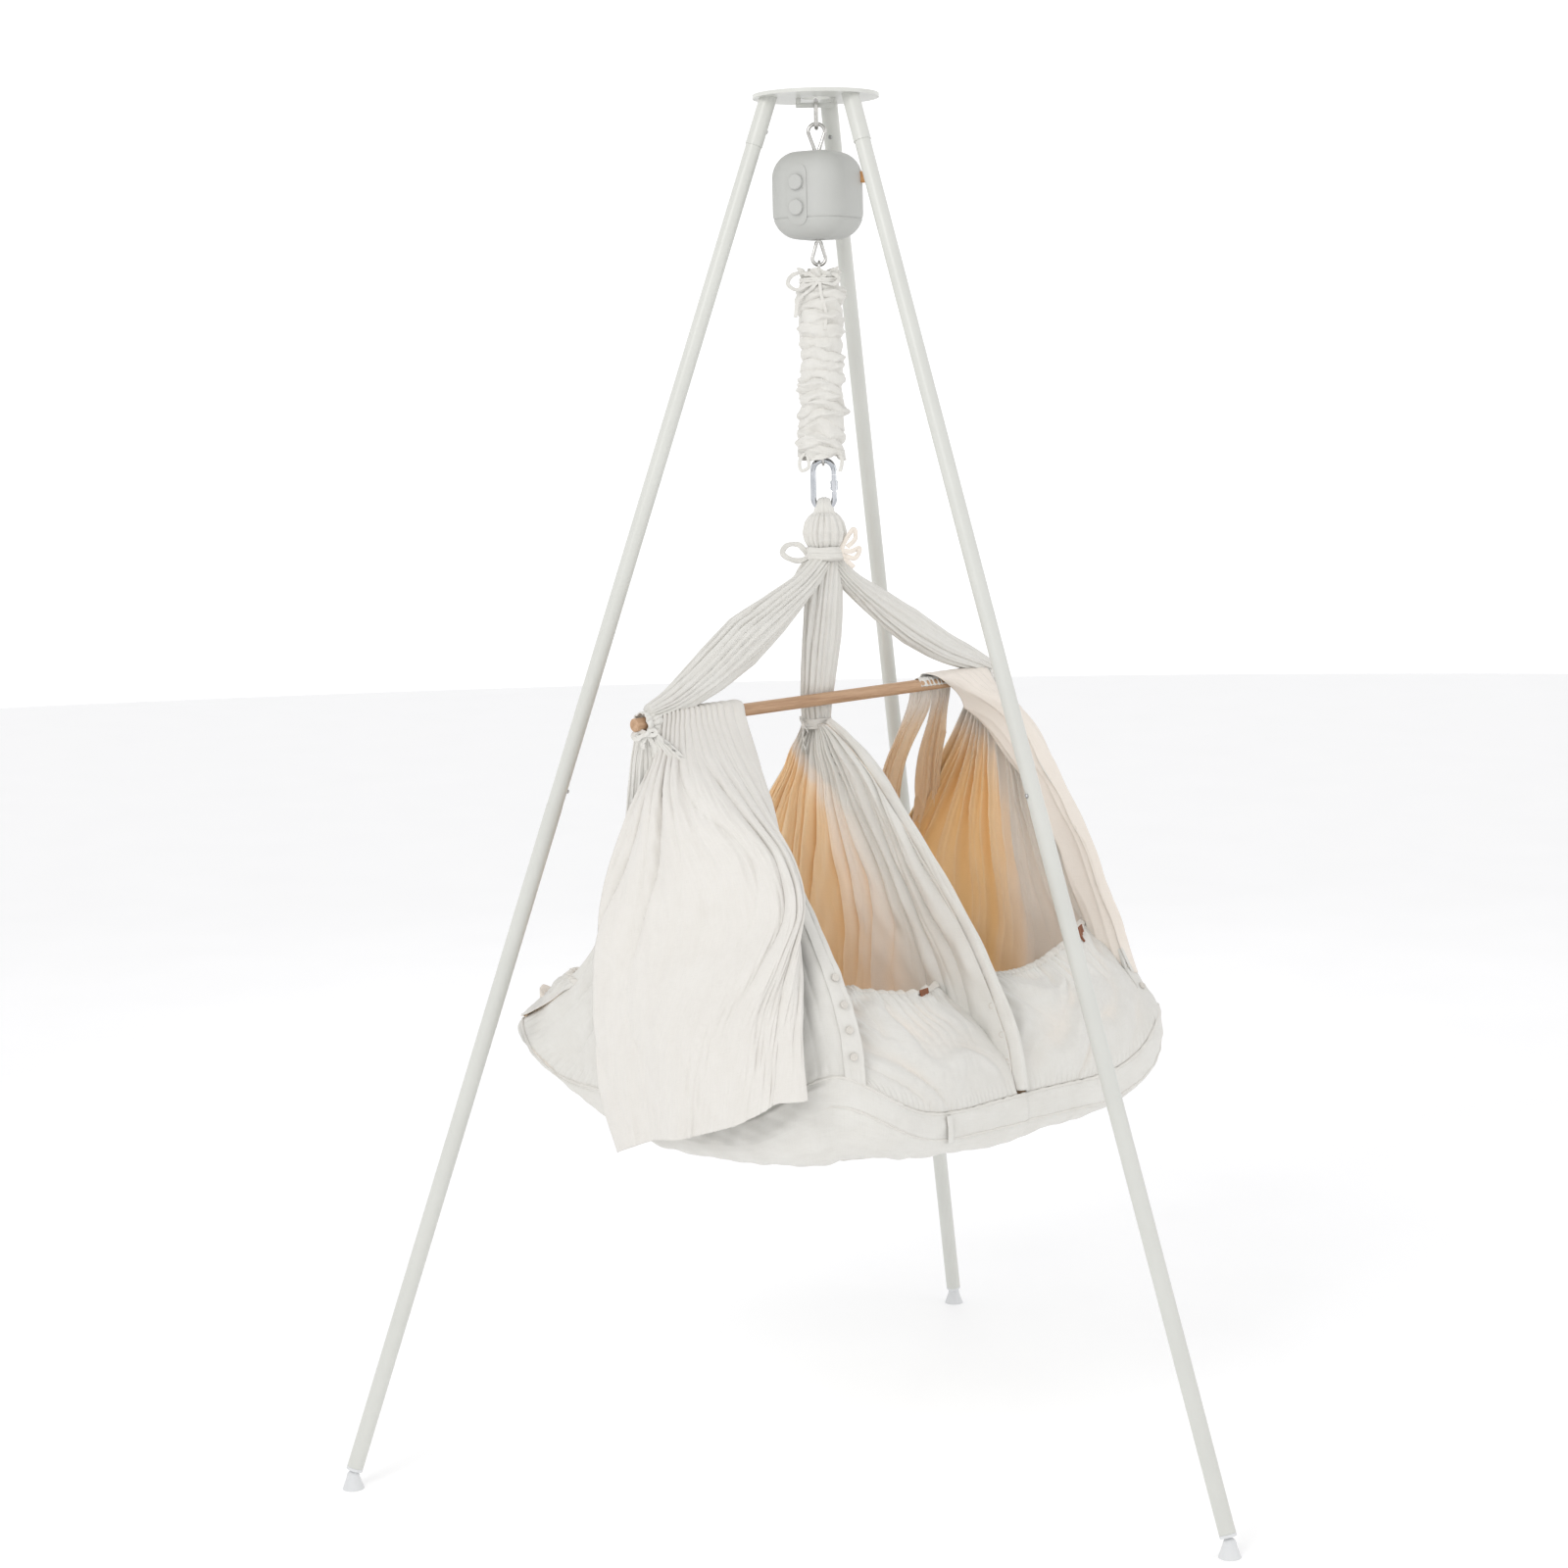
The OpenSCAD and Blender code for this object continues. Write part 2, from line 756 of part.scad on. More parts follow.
top_plate();
hook_bar();
leg_socket(0);  // leg_socket_left
leg_socket(1);  // leg_socket_right
leg_socket(2);  // leg_socket_back
upper_leg(0);  // upper_leg_left
upper_leg(1);  // upper_leg_right
upper_leg(2);  // upper_leg_back
lower_leg(0);  // lower_leg_left
lower_leg(1);  // lower_leg_right
lower_leg(2);  // lower_leg_back
foot(0);  // foot_left
foot(1);  // foot_right
foot(2);  // foot_back
snap_button(0, top_button_s, 0);  // snap_top_left
snap_button(1, top_button_s, 0);  // snap_top_right
snap_button(2, top_button_s, 0);  // snap_top_back
snap_button(0, mid_button_s, mid_button_turns[0]);  // snap_mid_left
snap_button(1, mid_button_s, mid_button_turns[1]);  // snap_mid_right
snap_button(2, mid_button_s, mid_button_turns[2]);  // snap_mid_back
snap_springs();
top_carabiner();
top_gate();
motor_eye();
motor_shell();
motor_base();
control_panel();
knob(0);  // speed_knob
knob(1);  // timer_knob
status_lens();
power_inlet();
circuit_board();
gearmotor();
winding_drum();
stroke_rod();
spring_hook_top();
spring();
spring_sleeve();
spring_hook_low();
carabiner();
carabiner_gate();
lock_sleeve();
head_loop();
head_tie();
centre_strand();
side_strand(-1);  // left_strand
side_strand(1);  // right_strand
centre_tie();
end_tie(-1);  // left_tie
end_tie(1);  // right_tie
spreader_bar();
side_wall(-1);  // left_wall
divider();
side_wall(1);  // right_wall
pouches();
left_drape();
right_drape();
base_cover();
mattress(-1);  // left_mattress
mattress(1);  // right_mattress
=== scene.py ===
import json
import math

import bpy
import numpy as np
from mathutils import Matrix, Vector


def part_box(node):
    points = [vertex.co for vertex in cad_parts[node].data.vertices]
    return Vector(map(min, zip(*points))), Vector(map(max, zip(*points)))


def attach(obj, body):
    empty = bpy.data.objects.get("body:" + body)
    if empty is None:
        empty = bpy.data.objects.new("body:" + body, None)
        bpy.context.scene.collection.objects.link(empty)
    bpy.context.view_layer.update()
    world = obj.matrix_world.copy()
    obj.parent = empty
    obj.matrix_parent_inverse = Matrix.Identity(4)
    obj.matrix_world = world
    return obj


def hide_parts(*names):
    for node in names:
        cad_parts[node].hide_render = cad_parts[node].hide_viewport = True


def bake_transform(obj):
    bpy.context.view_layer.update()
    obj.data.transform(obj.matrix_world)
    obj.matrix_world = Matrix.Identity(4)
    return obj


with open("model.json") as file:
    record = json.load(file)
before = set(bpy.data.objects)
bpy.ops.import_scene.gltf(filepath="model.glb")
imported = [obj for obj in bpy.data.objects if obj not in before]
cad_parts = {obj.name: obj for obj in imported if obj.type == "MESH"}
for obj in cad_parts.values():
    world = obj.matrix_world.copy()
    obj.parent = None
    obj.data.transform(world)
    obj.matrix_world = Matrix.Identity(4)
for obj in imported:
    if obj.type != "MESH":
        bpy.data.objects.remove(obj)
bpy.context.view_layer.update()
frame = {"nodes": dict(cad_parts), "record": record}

TAPE_THICK, DRAPE_THICK, DIVIDER_THICK, WALL_THICK, BAND_THICK, BASE_THICK = (
    0.0012, 0.0012, 0.0014, 0.0016, 0.0018, 0.0022)
PI = math.pi


# ---------------------------------------------------------------- camera and stage

def make_camera():
    yaw, pitch, roll = (math.radians(a) for a in (-44.386, -6.446, -1.179))
    forward = Vector((0, math.cos(pitch), math.sin(pitch)))
    level = Vector((1, 0, 0))
    up = level.cross(forward)
    right = level * math.cos(roll) + up * math.sin(roll)
    top = up * math.cos(roll) - level * math.sin(roll)
    turn = Matrix.Rotation(yaw, 3, "Z")
    right, top, forward = turn @ right, turn @ top, turn @ forward
    data = bpy.data.cameras.new("camera")
    data.lens, data.sensor_width = 69.64, 36
    data.shift_x = -0.02914
    data.clip_start, data.clip_end = 0.1, 60
    obj = bpy.data.objects.new("camera", data)
    bpy.context.scene.collection.objects.link(obj)
    place = Matrix((right, top, -forward)).transposed().to_4x4()
    place.translation = (-2.9666, -3.0306, 1.427)
    obj.matrix_world = place
    bpy.context.scene.camera = obj


def make_light(name, place, target, size, watts, colour=(1, 1, 1)):
    data = bpy.data.lights.new(name, "AREA")
    data.shape, data.size, data.energy, data.color = "DISK", size, watts, colour
    obj = bpy.data.objects.new(name, data)
    bpy.context.scene.collection.objects.link(obj)
    obj.location = place
    obj.rotation_euler = (Vector(target) - Vector(place)).to_track_quat("-Z", "Y").to_euler()


def make_world():
    world = bpy.data.worlds.new("studio")
    bpy.context.scene.world = world
    world.use_nodes = True
    nodes, links = world.node_tree.nodes, world.node_tree.links
    back = nodes["Background"]
    place = nodes.new("ShaderNodeTexCoord")
    split = nodes.new("ShaderNodeSeparateXYZ")
    ramp = nodes.new("ShaderNodeValToRGB")
    links.new(place.outputs["Generated"], split.inputs[0])
    links.new(split.outputs["Z"], ramp.inputs[0])
    ramp.color_ramp.elements[0].position = 0.25
    ramp.color_ramp.elements[0].color = (1.0, 1.0, 1.0, 1)
    ramp.color_ramp.elements[1].position = 0.8
    ramp.color_ramp.elements[1].color = (0.6, 0.6, 0.61, 1)
    links.new(ramp.outputs[0], back.inputs["Color"])
    back.inputs["Strength"].default_value = 1.17


make_camera()
make_world()
make_light("key", (-3.6, -1.2, 3.4), (0, 0, 0.9), 1.8, 42, (1, 0.99, 0.975))
make_light("fill", (1.8, -3.6, 2.2), (0, 0, 0.9), 2.4, 8)
make_light("rim", (2.6, 2.8, 2.8), (0, 0, 0.9), 2.0, 10)
bpy.context.scene.view_settings.view_transform = "Standard"


# ---------------------------------------------------------------- materials

class Look:
    """A node material whose colour, roughness and bump come from patterns in metres."""

    def __init__(self, name, rough=(0.5, 0.6), metallic=0.0, specular=0.5):
        self.mat = bpy.data.materials.new(name)
        self.mat.use_nodes = True
        self.tree = self.mat.node_tree
        self.shader = self.tree.nodes["Principled BSDF"]
        self.set("Metallic", metallic)
        self.set("Specular IOR Level", specular)
        self.where = self.node("ShaderNodeTexCoord").outputs["Object"]
        self.rough, self.height = rough, None

    def node(self, kind, **settings):
        made = self.tree.nodes.new(kind)
        for key, value in settings.items():
            setattr(made, key, value)
        return made

    def set(self, socket, value):
        self.shader.inputs[socket].default_value = value

    def link(self, a, b):
        self.tree.links.new(a, b)

    def scaled(self, size):
        place = self.node("ShaderNodeMapping")
        place.inputs["Scale"].default_value = size
        self.link(self.where, place.inputs[0])
        return place.outputs[0]

    def noise(self, scale, detail=4.0, rough=0.55, stretch=(1, 1, 1)):
        made = self.node("ShaderNodeTexNoise")
        made.inputs["Scale"].default_value = scale
        made.inputs["Detail"].default_value = detail
        made.inputs["Roughness"].default_value = rough
        self.link(self.scaled(stretch), made.inputs["Vector"])
        return made.outputs["Fac"]

    def wave(self, direction, scale, distortion=0.0):
        made = self.node("ShaderNodeTexWave", bands_direction=direction)
        made.inputs["Scale"].default_value = scale
        made.inputs["Distortion"].default_value = distortion
        made.inputs["Detail"].default_value = 1.0
        self.link(self.where, made.inputs["Vector"])
        return made.outputs["Fac"]

    def math(self, operation, a, b):
        made = self.node("ShaderNodeMath", operation=operation)
        for i, x in enumerate((a, b)):
            if isinstance(x, (int, float)):
                made.inputs[i].default_value = x
            else:
                self.link(x, made.inputs[i])
        return made.outputs[0]

    def mix(self, share, a, b, blend="MIX"):
        made = self.node("ShaderNodeMix", data_type="RGBA", blend_type=blend)
        for i, x in ((0, share), (6, a), (7, b)):
            if isinstance(x, (int, float)):
                made.inputs[i].default_value = x
            elif isinstance(x, tuple):
                made.inputs[i].default_value = (*x, 1)
            else:
                self.link(x, made.inputs[i])
        return made.outputs[2]

    def ramp(self, value, stops):
        made = self.node("ShaderNodeValToRGB")
        marks = made.color_ramp.elements
        while len(marks) < len(stops):
            marks.new(0.5)
        for mark, (at, colour) in zip(marks, stops):
            mark.position, mark.color = at, (*colour, 1)
        self.link(value, made.inputs[0])
        return made.outputs[0]

    def vary_rough(self, value):
        made = self.node("ShaderNodeMapRange")
        made.inputs["To Min"].default_value = self.rough[0]
        made.inputs["To Max"].default_value = self.rough[1]
        self.link(value, made.inputs["Value"])
        self.link(made.outputs[0], self.shader.inputs["Roughness"])

    def bump(self, height, distance, strength=1.0):
        made = self.node("ShaderNodeBump")
        made.inputs["Distance"].default_value = distance
        made.inputs["Strength"].default_value = strength
        self.link(height, made.inputs["Height"])
        if self.height is not None:
            self.link(self.height, made.inputs["Normal"])
        self.height = made.outputs[0]
        self.link(self.height, self.shader.inputs["Normal"])

    def colour(self, value):
        self.link(value, self.shader.inputs["Base Color"])


def painted(name, light, dark, grain=900, rough=(0.32, 0.45), specular=0.45):
    """Powder coat or moulded plastic: faint cloudiness and an orange-peel grain."""
    look = Look(name, rough, 0.0, specular)
    cloud = look.noise(9, 5)
    look.colour(look.ramp(cloud, [(0.3, dark), (0.7, light)]))
    fine = look.noise(grain, 3)
    look.vary_rough(look.noise(40, 4))
    look.bump(fine, 0.00012, 0.5)
    return look.mat


def metal(name, light, dark, rough, stretch=(1, 1, 1), brush=300):
    look = Look(name, rough, 1.0)
    look.colour(look.ramp(look.noise(60, 4), [(0.35, dark), (0.65, light)]))
    scratch = look.noise(brush, 4, 0.6, stretch)
    look.vary_rough(scratch)
    look.bump(scratch, 0.00004, 0.4)
    return look.mat


def woven(name, light, dark, warm_stops, pitch=0.0011, sheen=0.25):
    """Cotton muslin: a plain weave laid in metres, slubs and creases, and a warm amber on the inner sides
    that is partly the lining's own colour and partly painted light, with painted shade in fold valleys.
    """
    look = Look(name, (0.82, 0.95), 0.0, 0.25)
    look.set("Sheen Weight", sheen)
    look.set("Sheen Roughness", 0.5)
    plain = look.noise(26, 5)
    base = look.ramp(plain, [(0.25, dark), (0.75, light)])
    # The warm attribute carries painted light and shade: the inner sides' amber, partly the lining's colour
    # and partly painted light through and between the cloth, and painted warm shade in fold valleys.
    warm = look.node("ShaderNodeAttribute", attribute_name="warm").outputs["Fac"]
    deep = look.ramp(warm, warm_stops)
    share = look.ramp(warm, [(0.0, (0, 0, 0)), (0.45, (1, 1, 1))])
    toned = look.mix(share, base, deep)
    look.where = look.node("ShaderNodeUVMap").outputs[0]
    wave_scale = 0.31416 / pitch
    weave = look.math("MAXIMUM", look.wave("X", wave_scale, 0.6), look.wave("Y", wave_scale, 0.6))
    slub = look.math("ADD", look.noise(1, 3, 0.6, (60, 900, 1)), look.noise(1, 3, 0.6, (900, 60, 1)))
    crease = look.noise(55, 6, 0.62)
    threads = look.ramp(slub, [(0.6, (0.93, 0.925, 0.915)), (1.2, (1, 1, 1))])
    look.colour(look.mix(0.8, toned, threads, "MULTIPLY"))
    look.vary_rough(slub)
    look.bump(crease, 0.0016, 0.35)
    look.bump(look.math("ADD", weave, look.math("MULTIPLY", slub, 0.8)), 0.00022, 0.55)
    return look.mat


def wood(name):
    light, mid, dark = (0.62, 0.42, 0.27), (0.52, 0.33, 0.20), (0.38, 0.22, 0.12)
    look = Look(name, (0.42, 0.6))
    grain = look.noise(1, 6, 0.6, (6, 170, 170))
    pore = look.noise(1, 4, 0.7, (45, 1500, 1500))
    tone = look.ramp(grain, [(0.3, dark), (0.5, mid), (0.72, light)])
    look.colour(look.mix(0.55, tone, look.ramp(pore, [(0.4, (0.72, 0.66, 0.6)), (0.6, (1, 1, 1))]),
                         "MULTIPLY"))
    look.vary_rough(grain)
    look.bump(pore, 0.00025, 0.5)
    return look.mat


def leather(name, light, dark):
    look = Look(name, (0.45, 0.62), 0.0, 0.4)
    cell = look.node("ShaderNodeTexVoronoi", feature="DISTANCE_TO_EDGE")
    cell.inputs["Scale"].default_value = 900
    look.link(look.where, cell.inputs["Vector"])
    look.colour(look.ramp(look.noise(120, 5), [(0.3, dark), (0.7, light)]))
    look.vary_rough(look.noise(500, 3))
    look.bump(cell.outputs["Distance"], 0.0003, 0.6)
    return look.mat


# Amber for the warm attribute: partly the lining's own colour, partly painted light shining through and
# bouncing inside the cradle; the peach stop is lighter than the plain cream for that painted light.
AMBER = [(0.0, (0.70, 0.68, 0.63)), (0.3, (0.93, 0.81, 0.70)), (0.6, (0.94, 0.72, 0.49)),
         (1.0, (0.93, 0.62, 0.29))]
CREAM = ((0.735, 0.725, 0.69), (0.69, 0.675, 0.635))
LOOKS = {
    "stand_paint": painted("stand_paint", (0.63, 0.635, 0.60), (0.60, 0.605, 0.57), 1400, (0.25, 0.36)),
    "foot_rubber": painted("foot_rubber", (0.72, 0.73, 0.73), (0.66, 0.67, 0.68), 700, (0.5, 0.7), 0.4),
    "button_steel": metal("button_steel", (0.5, 0.5, 0.5), (0.4, 0.4, 0.4), (0.22, 0.4)),
    "link_steel": metal("link_steel", (0.64, 0.63, 0.61), (0.5, 0.49, 0.47), (0.14, 0.3)),
    "clip_chrome": metal("clip_chrome", (0.6, 0.61, 0.64), (0.46, 0.48, 0.51), (0.06, 0.16)),
    "motor_plastic": painted("motor_plastic", (0.50, 0.505, 0.485), (0.475, 0.48, 0.46), 1800, (0.5, 0.62),
                             0.35),
    "lens_plastic": painted("lens_plastic", (0.42, 0.42, 0.40), (0.38, 0.38, 0.36), 900, (0.15, 0.25), 0.6),
    "inner_plastic": painted("inner_plastic", (0.09, 0.2, 0.1), (0.06, 0.15, 0.07), 500, (0.35, 0.5)),
    "inner_metal": metal("inner_metal", (0.6, 0.59, 0.57), (0.48, 0.47, 0.45), (0.25, 0.45)),
    "sleeve_fabric": woven("sleeve_fabric", *CREAM, AMBER),
    "cradle_fabric": woven("cradle_fabric", *CREAM, AMBER),
    "drape_fabric": woven("drape_fabric", (0.735, 0.73, 0.705), (0.695, 0.685, 0.655), AMBER, 0.0009),
    "mattress_fabric": woven("mattress_fabric", (0.70, 0.67, 0.61), (0.65, 0.61, 0.55), AMBER, 0.0014),
    "bar_wood": wood("bar_wood"),
}
LEATHER = leather("tag_leather", (0.27, 0.095, 0.04), (0.19, 0.06, 0.025))
TAN = leather("tab_leather", (0.56, 0.3, 0.12), (0.45, 0.22, 0.08))
STUD = painted("stud_resin", (0.66, 0.63, 0.58), (0.6, 0.57, 0.52), 900, (0.25, 0.35))


def make_floor():
    bpy.ops.mesh.primitive_circle_add(vertices=96, radius=14, fill_type="TRIFAN", location=(0, 0, 0))
    floor = bpy.context.object
    floor.name = "floor"
    look = Look("floor", (0.75, 0.85), 0.0, 0.1)
    look.colour(look.ramp(look.noise(3, 3), [(0.3, (0.9, 0.9, 0.9)), (0.7, (0.92, 0.92, 0.92))]))
    look.vary_rough(look.noise(30, 3))
    look.set("Emission Color", (1, 1, 1, 1))
    look.set("Emission Strength", 0.16)
    floor.data.materials.append(look.mat)


make_floor()


# ---------------------------------------------------------------- shape helpers

def unit(v):
    return v / np.maximum(np.linalg.norm(v, axis=-1, keepdims=True), 1e-12)


def smooth(x):
    x = np.clip(x, 0, 1)
    return x * x * (3 - 2 * x)


def curve(points, n):
    """n points evenly along a smooth curve through the given ones."""
    p = np.asarray(points, float)
    d = np.r_[0, np.cumsum(np.linalg.norm(np.diff(p, axis=0), axis=1))]
    slope = np.gradient(p, d, axis=0)
    t = np.linspace(0, d[-1], 400)
    i = np.clip(np.searchsorted(d, t) - 1, 0, len(d) - 2)
    h = (d[i + 1] - d[i])
    s = ((t - d[i]) / h)[:, None]
    h = h[:, None]
    q = ((2 * s**3 - 3 * s**2 + 1) * p[i] + (s**3 - 2 * s**2 + s) * h * slope[i]
         + (3 * s**2 - 2 * s**3) * p[i + 1] + (s**3 - s**2) * h * slope[i + 1])
    e = np.r_[0, np.cumsum(np.linalg.norm(np.diff(q, axis=0), axis=1))]
    at = np.linspace(0, e[-1], n)
    return np.stack([np.interp(at, e, q[:, k]) for k in range(q.shape[1])], 1)


def noise(p, seed, size, n=8):
    """Smooth seeded noise, about -1 to 1, with features of that size."""
    draw = np.random.default_rng(seed)
    p = np.asarray(p, float)
    out = 0
    for _ in range(n):
        k = draw.normal(size=p.shape[-1])
        k *= 2 * PI / (size * (0.7 + 0.9 * draw.random())) / np.linalg.norm(k)
        out = out + np.sin(p @ k + draw.random() * 6.283)
    return out * 0.8 / math.sqrt(n)


def pleat(x):
    """Round tops and sharp valleys, -1 to 1, one for each whole number."""
    return 2 * np.abs(np.sin(PI * x)) ** 0.75 - 1


def mm(points):
    """Points written in millimetres."""
    return np.array(points) / 1000


def turned(p, degrees):
    """Points turned about the Z axis."""
    c, s = math.cos(math.radians(degrees)), math.sin(math.radians(degrees))
    p = np.asarray(p, float)
    return np.stack([c * p[..., 0] - s * p[..., 1], s * p[..., 0] + c * p[..., 1], p[..., 2]], -1)


def angles(n):
    """n angles round a circle."""
    return np.linspace(0, 2 * PI, n, endpoint=False)


def shares(nu, nv):
    """How far down (a column) and across (a row) the points of a grid lie."""
    return np.linspace(0, 1, nu)[:, None], np.linspace(0, 1, nv)[None, :]


def paired(*values):
    """Values that broadcast together, as points for noise."""
    return np.stack(np.broadcast_arrays(*values), -1)


class Build:
    """Collects sheets and tubes of vertices, and makes them one object."""

    def __init__(self):
        self.points, self.faces, self.uvs, self.warm, self.count = [], [], [], [], 0

    def add(self, points, faces, uv, warm):
        self.points.append(points)
        self.faces.append(faces + self.count)
        self.uvs.append(uv)
        self.warm.append(warm)
        self.count += len(points)

    def lengths(self, P):
        along = [np.linalg.norm(np.diff(P, axis=k), axis=-1).mean(1 - k) for k in (0, 1)]
        steps = [np.r_[0, np.cumsum(a)] for a in along]
        return np.stack(np.meshgrid(*steps, indexing="ij"), -1).reshape(-1, 2)

    def sheet(self, P, thick=0.0014, warm=0.0, warm_in=None, loop=False):
        """Cloth of that thickness on a grid of points. warm is for the side that du x dv faces."""
        wrap = np.concatenate([P[:, -1:], P, P[:, :1]], 1) if loop else P
        n = unit(np.cross(np.gradient(wrap, axis=0), np.gradient(wrap, axis=1)))
        n = n[:, 1:-1] if loop else n
        nu, nv = P.shape[:2]
        points = np.concatenate([(P + n * thick / 2).reshape(-1, 3), (P - n * thick / 2).reshape(-1, 3)])
        index = np.arange(2 * nu * nv).reshape(2, nu, nv)
        if loop:
            index = np.concatenate([index, index[:, :, :1]], 2)
        o, i = index
        def quads(*c):
            return np.stack(c, -1).reshape(-1, 4)
        faces = [quads(o[:-1, :-1], o[1:, :-1], o[1:, 1:], o[:-1, 1:]),
                 quads(i[:-1, :-1], i[:-1, 1:], i[1:, 1:], i[1:, :-1]),
                 quads(o[0, :-1], o[0, 1:], i[0, 1:], i[0, :-1]),
                 quads(o[-1, :-1], i[-1, :-1], i[-1, 1:], o[-1, 1:])]
        if not loop:
            faces += [quads(o[:-1, 0], i[:-1, 0], i[1:, 0], o[1:, 0]),
                      quads(o[:-1, -1], o[1:, -1], i[1:, -1], i[:-1, -1])]
        uv = self.lengths(P)
        w = [np.broadcast_to(x, (nu, nv)).reshape(-1) for x in (warm, warm if warm_in is None else warm_in)]
        self.add(points, np.concatenate(faces), np.concatenate([uv, uv]), np.concatenate(w))
        return self

    def tube(self, P, warm=0.0):
        """A closed skin on rings of points, with both ends capped."""
        nu, nv = P.shape[:2]
        index = np.arange(nu * nv).reshape(nu, nv)
        index = np.concatenate([index, index[:, :1]], 1)
        q = np.stack([index[:-1, :-1], index[1:, :-1], index[1:, 1:], index[:-1, 1:]], -1).reshape(-1, 4)
        a, b = nu * nv, nu * nv + 1
        caps = [np.stack([index[0, :-1], index[0, 1:], np.full(nv, a), np.full(nv, a)], -1),
                np.stack([index[-1, 1:], index[-1, :-1], np.full(nv, b), np.full(nv, b)], -1)]
        points = np.concatenate([P.reshape(-1, 3), [P[0].mean(0), P[-1].mean(0)]])
        uv = self.lengths(P)
        uv = np.concatenate([uv, [uv[0], uv[-1]]])
        w = np.r_[np.broadcast_to(warm, (nu, nv)).reshape(-1), 0, 0]
        self.add(points, np.concatenate([q, *caps]), uv, w)
        return self

    def make(self, name, body="cradle", slot="cradle_fabric", hides=(), ride=True, look=None):
        points, faces = np.concatenate(self.points), np.concatenate(self.faces)
        mesh = bpy.data.meshes.new(name)
        polygons = [f[:3] if f[2] == f[3] else f for f in faces.tolist()]
        mesh.from_pydata(points.tolist(), [], polygons)
        mesh.update()
        uv, warm = np.concatenate(self.uvs), np.concatenate(self.warm)
        corner = np.zeros(len(mesh.loops), np.int32)
        mesh.loops.foreach_get("vertex_index", corner)
        layer = mesh.uv_layers.new(name="UVMap")
        layer.data.foreach_set("uv", uv[corner].astype(np.float32).reshape(-1))
        mesh.attributes.new("warm", "FLOAT", "POINT").data.foreach_set("value", warm.astype(np.float32))
        mesh.polygons.foreach_set("use_smooth", np.ones(len(mesh.polygons), bool))
        mesh.materials.append(look or LOOKS[slot])
        obj = bpy.data.objects.new(name, mesh)
        bpy.context.scene.collection.objects.link(obj)
        finish_piece(obj, body if ride else None, hides)
        return obj


def finish_piece(obj, body, hides=()):
    if body:
        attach(obj, body)
    if hides:
        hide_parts(*hides)


def frames(path, up):
    """Tangent, side and top of a path, with top as near up as it can be."""
    t = unit(np.gradient(path, axis=0))
    side = unit(np.cross(t, np.broadcast_to(up, t.shape)))
    return t, side, np.cross(side, t)


def swept(path, up, half_side, half_top, around=64, swell=None):
    """Rings of an ellipse along a path. swell(s, angle) scales the radius."""
    n = len(path)
    _, side, top = frames(path, np.asarray(up, float))
    a = angles(around)
    s = np.linspace(0, 1, n)[:, None]
    r = 1.0 if swell is None else swell(s, a[None, :])
    w = np.broadcast_to(np.asarray(half_side, float).reshape(-1, 1), (n, around)) * r
    h = np.broadcast_to(np.asarray(half_top, float).reshape(-1, 1), (n, around)) * r
    return (path[:, None] + side[:, None] * (w * np.cos(a))[..., None]
            + top[:, None] * (h * np.sin(a))[..., None])


def tape(points, width, face, n=60, seed=1, curl=0.12):
    """The grid of a narrow cotton tape along a curve, with its flat side towards face."""
    path = curve(points, n)
    _, side, top = frames(path, np.asarray(face, float))
    s = np.linspace(0, 1, n)
    lean = curl * noise(s[:, None], seed, 0.3) * 3
    across = np.cos(lean)[:, None] * side + np.sin(lean)[:, None] * top
    v = np.linspace(-0.5, 0.5, 7)
    cup = (0.25 - v**2) * width * 0.25
    return path[:, None] + across[:, None] * (v * width)[None, :, None] + top[:, None] * cup[None, :, None]


def bow(build, centre, right, down, size, width, seed, tails=(1.3, 1.5), loops=(1, 1)):
    """A tied bow: a knot, two loops and two tails, in the plane of right and down."""
    c, r, d = (np.asarray(x, float) for x in (centre, right, down))
    r, d = unit(r), unit(d)
    out = np.cross(r, d)
    draw = np.random.default_rng(seed)
    for k, side in enumerate((-1, 1)):
        L = size * loops[k]
        if L > 0:
            rise = draw.uniform(-0.35, 0.15)
            loop = [(0, 0, 0), (0.45, rise - 0.3, 0.2), (0.95, rise - 0.25, 0.3), (1.12, rise + 0.05, 0.1),
                    (0.85, rise + 0.28, -0.05), (0.4, 0.16, 0.0), (0, 0.03, 0)]
            build.sheet(tape([c + L * (side * a * r + b * d + e * out) for a, b, e in loop], width,
                             out + 0.6 * d, 50, seed + k), TAPE_THICK)
        T = size * tails[k]
        if T > 0:
            sway = draw.uniform(0.15, 0.45)
            tail = [(0, 0, 0), (sway * 0.5, 0.3, 0.12), (sway, 0.62, 0.1), (sway * 0.9, 1.0, 0.02)]
            build.sheet(tape([c + T * (side * a * r + b * d + e * out) for a, b, e in tail], width, out, 40,
                             seed + 5 + k), TAPE_THICK)
    path = curve([c - 0.55 * width * r, c, c + 0.55 * width * r], 16)
    s = np.linspace(0, 1, 16)
    fat = np.sqrt(np.clip(1 - (2 * s - 1)**2 * 0.8, 0.1, 1)) * width * 0.62
    build.tube(swept(path, out, fat, fat * 0.9, 28, lambda u, a: 1 + 0.1 * np.sin(5 * a + 6 * u)))


def bar_z(x):
    return 1.069 + math.tan(math.radians(1.5)) * x


# ---------------------------------------------------------------- spring and its sleeve

def make_spring():
    turns, top, low, r, wire = 26, 1.641, 1.422, 0.0203, 0.0016
    n = turns * 28
    t = np.linspace(0, 1, n)
    a = 2 * PI * turns * t
    path = np.stack([r * np.cos(a), r * np.sin(a), top + (low - top) * t], 1)
    build = Build().tube(swept(path, (0, 0, 1), wire, wire, 12))
    obj = build.make("spring_wire", slot="link_steel", hides=("spring",), ride=False)
    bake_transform(obj)


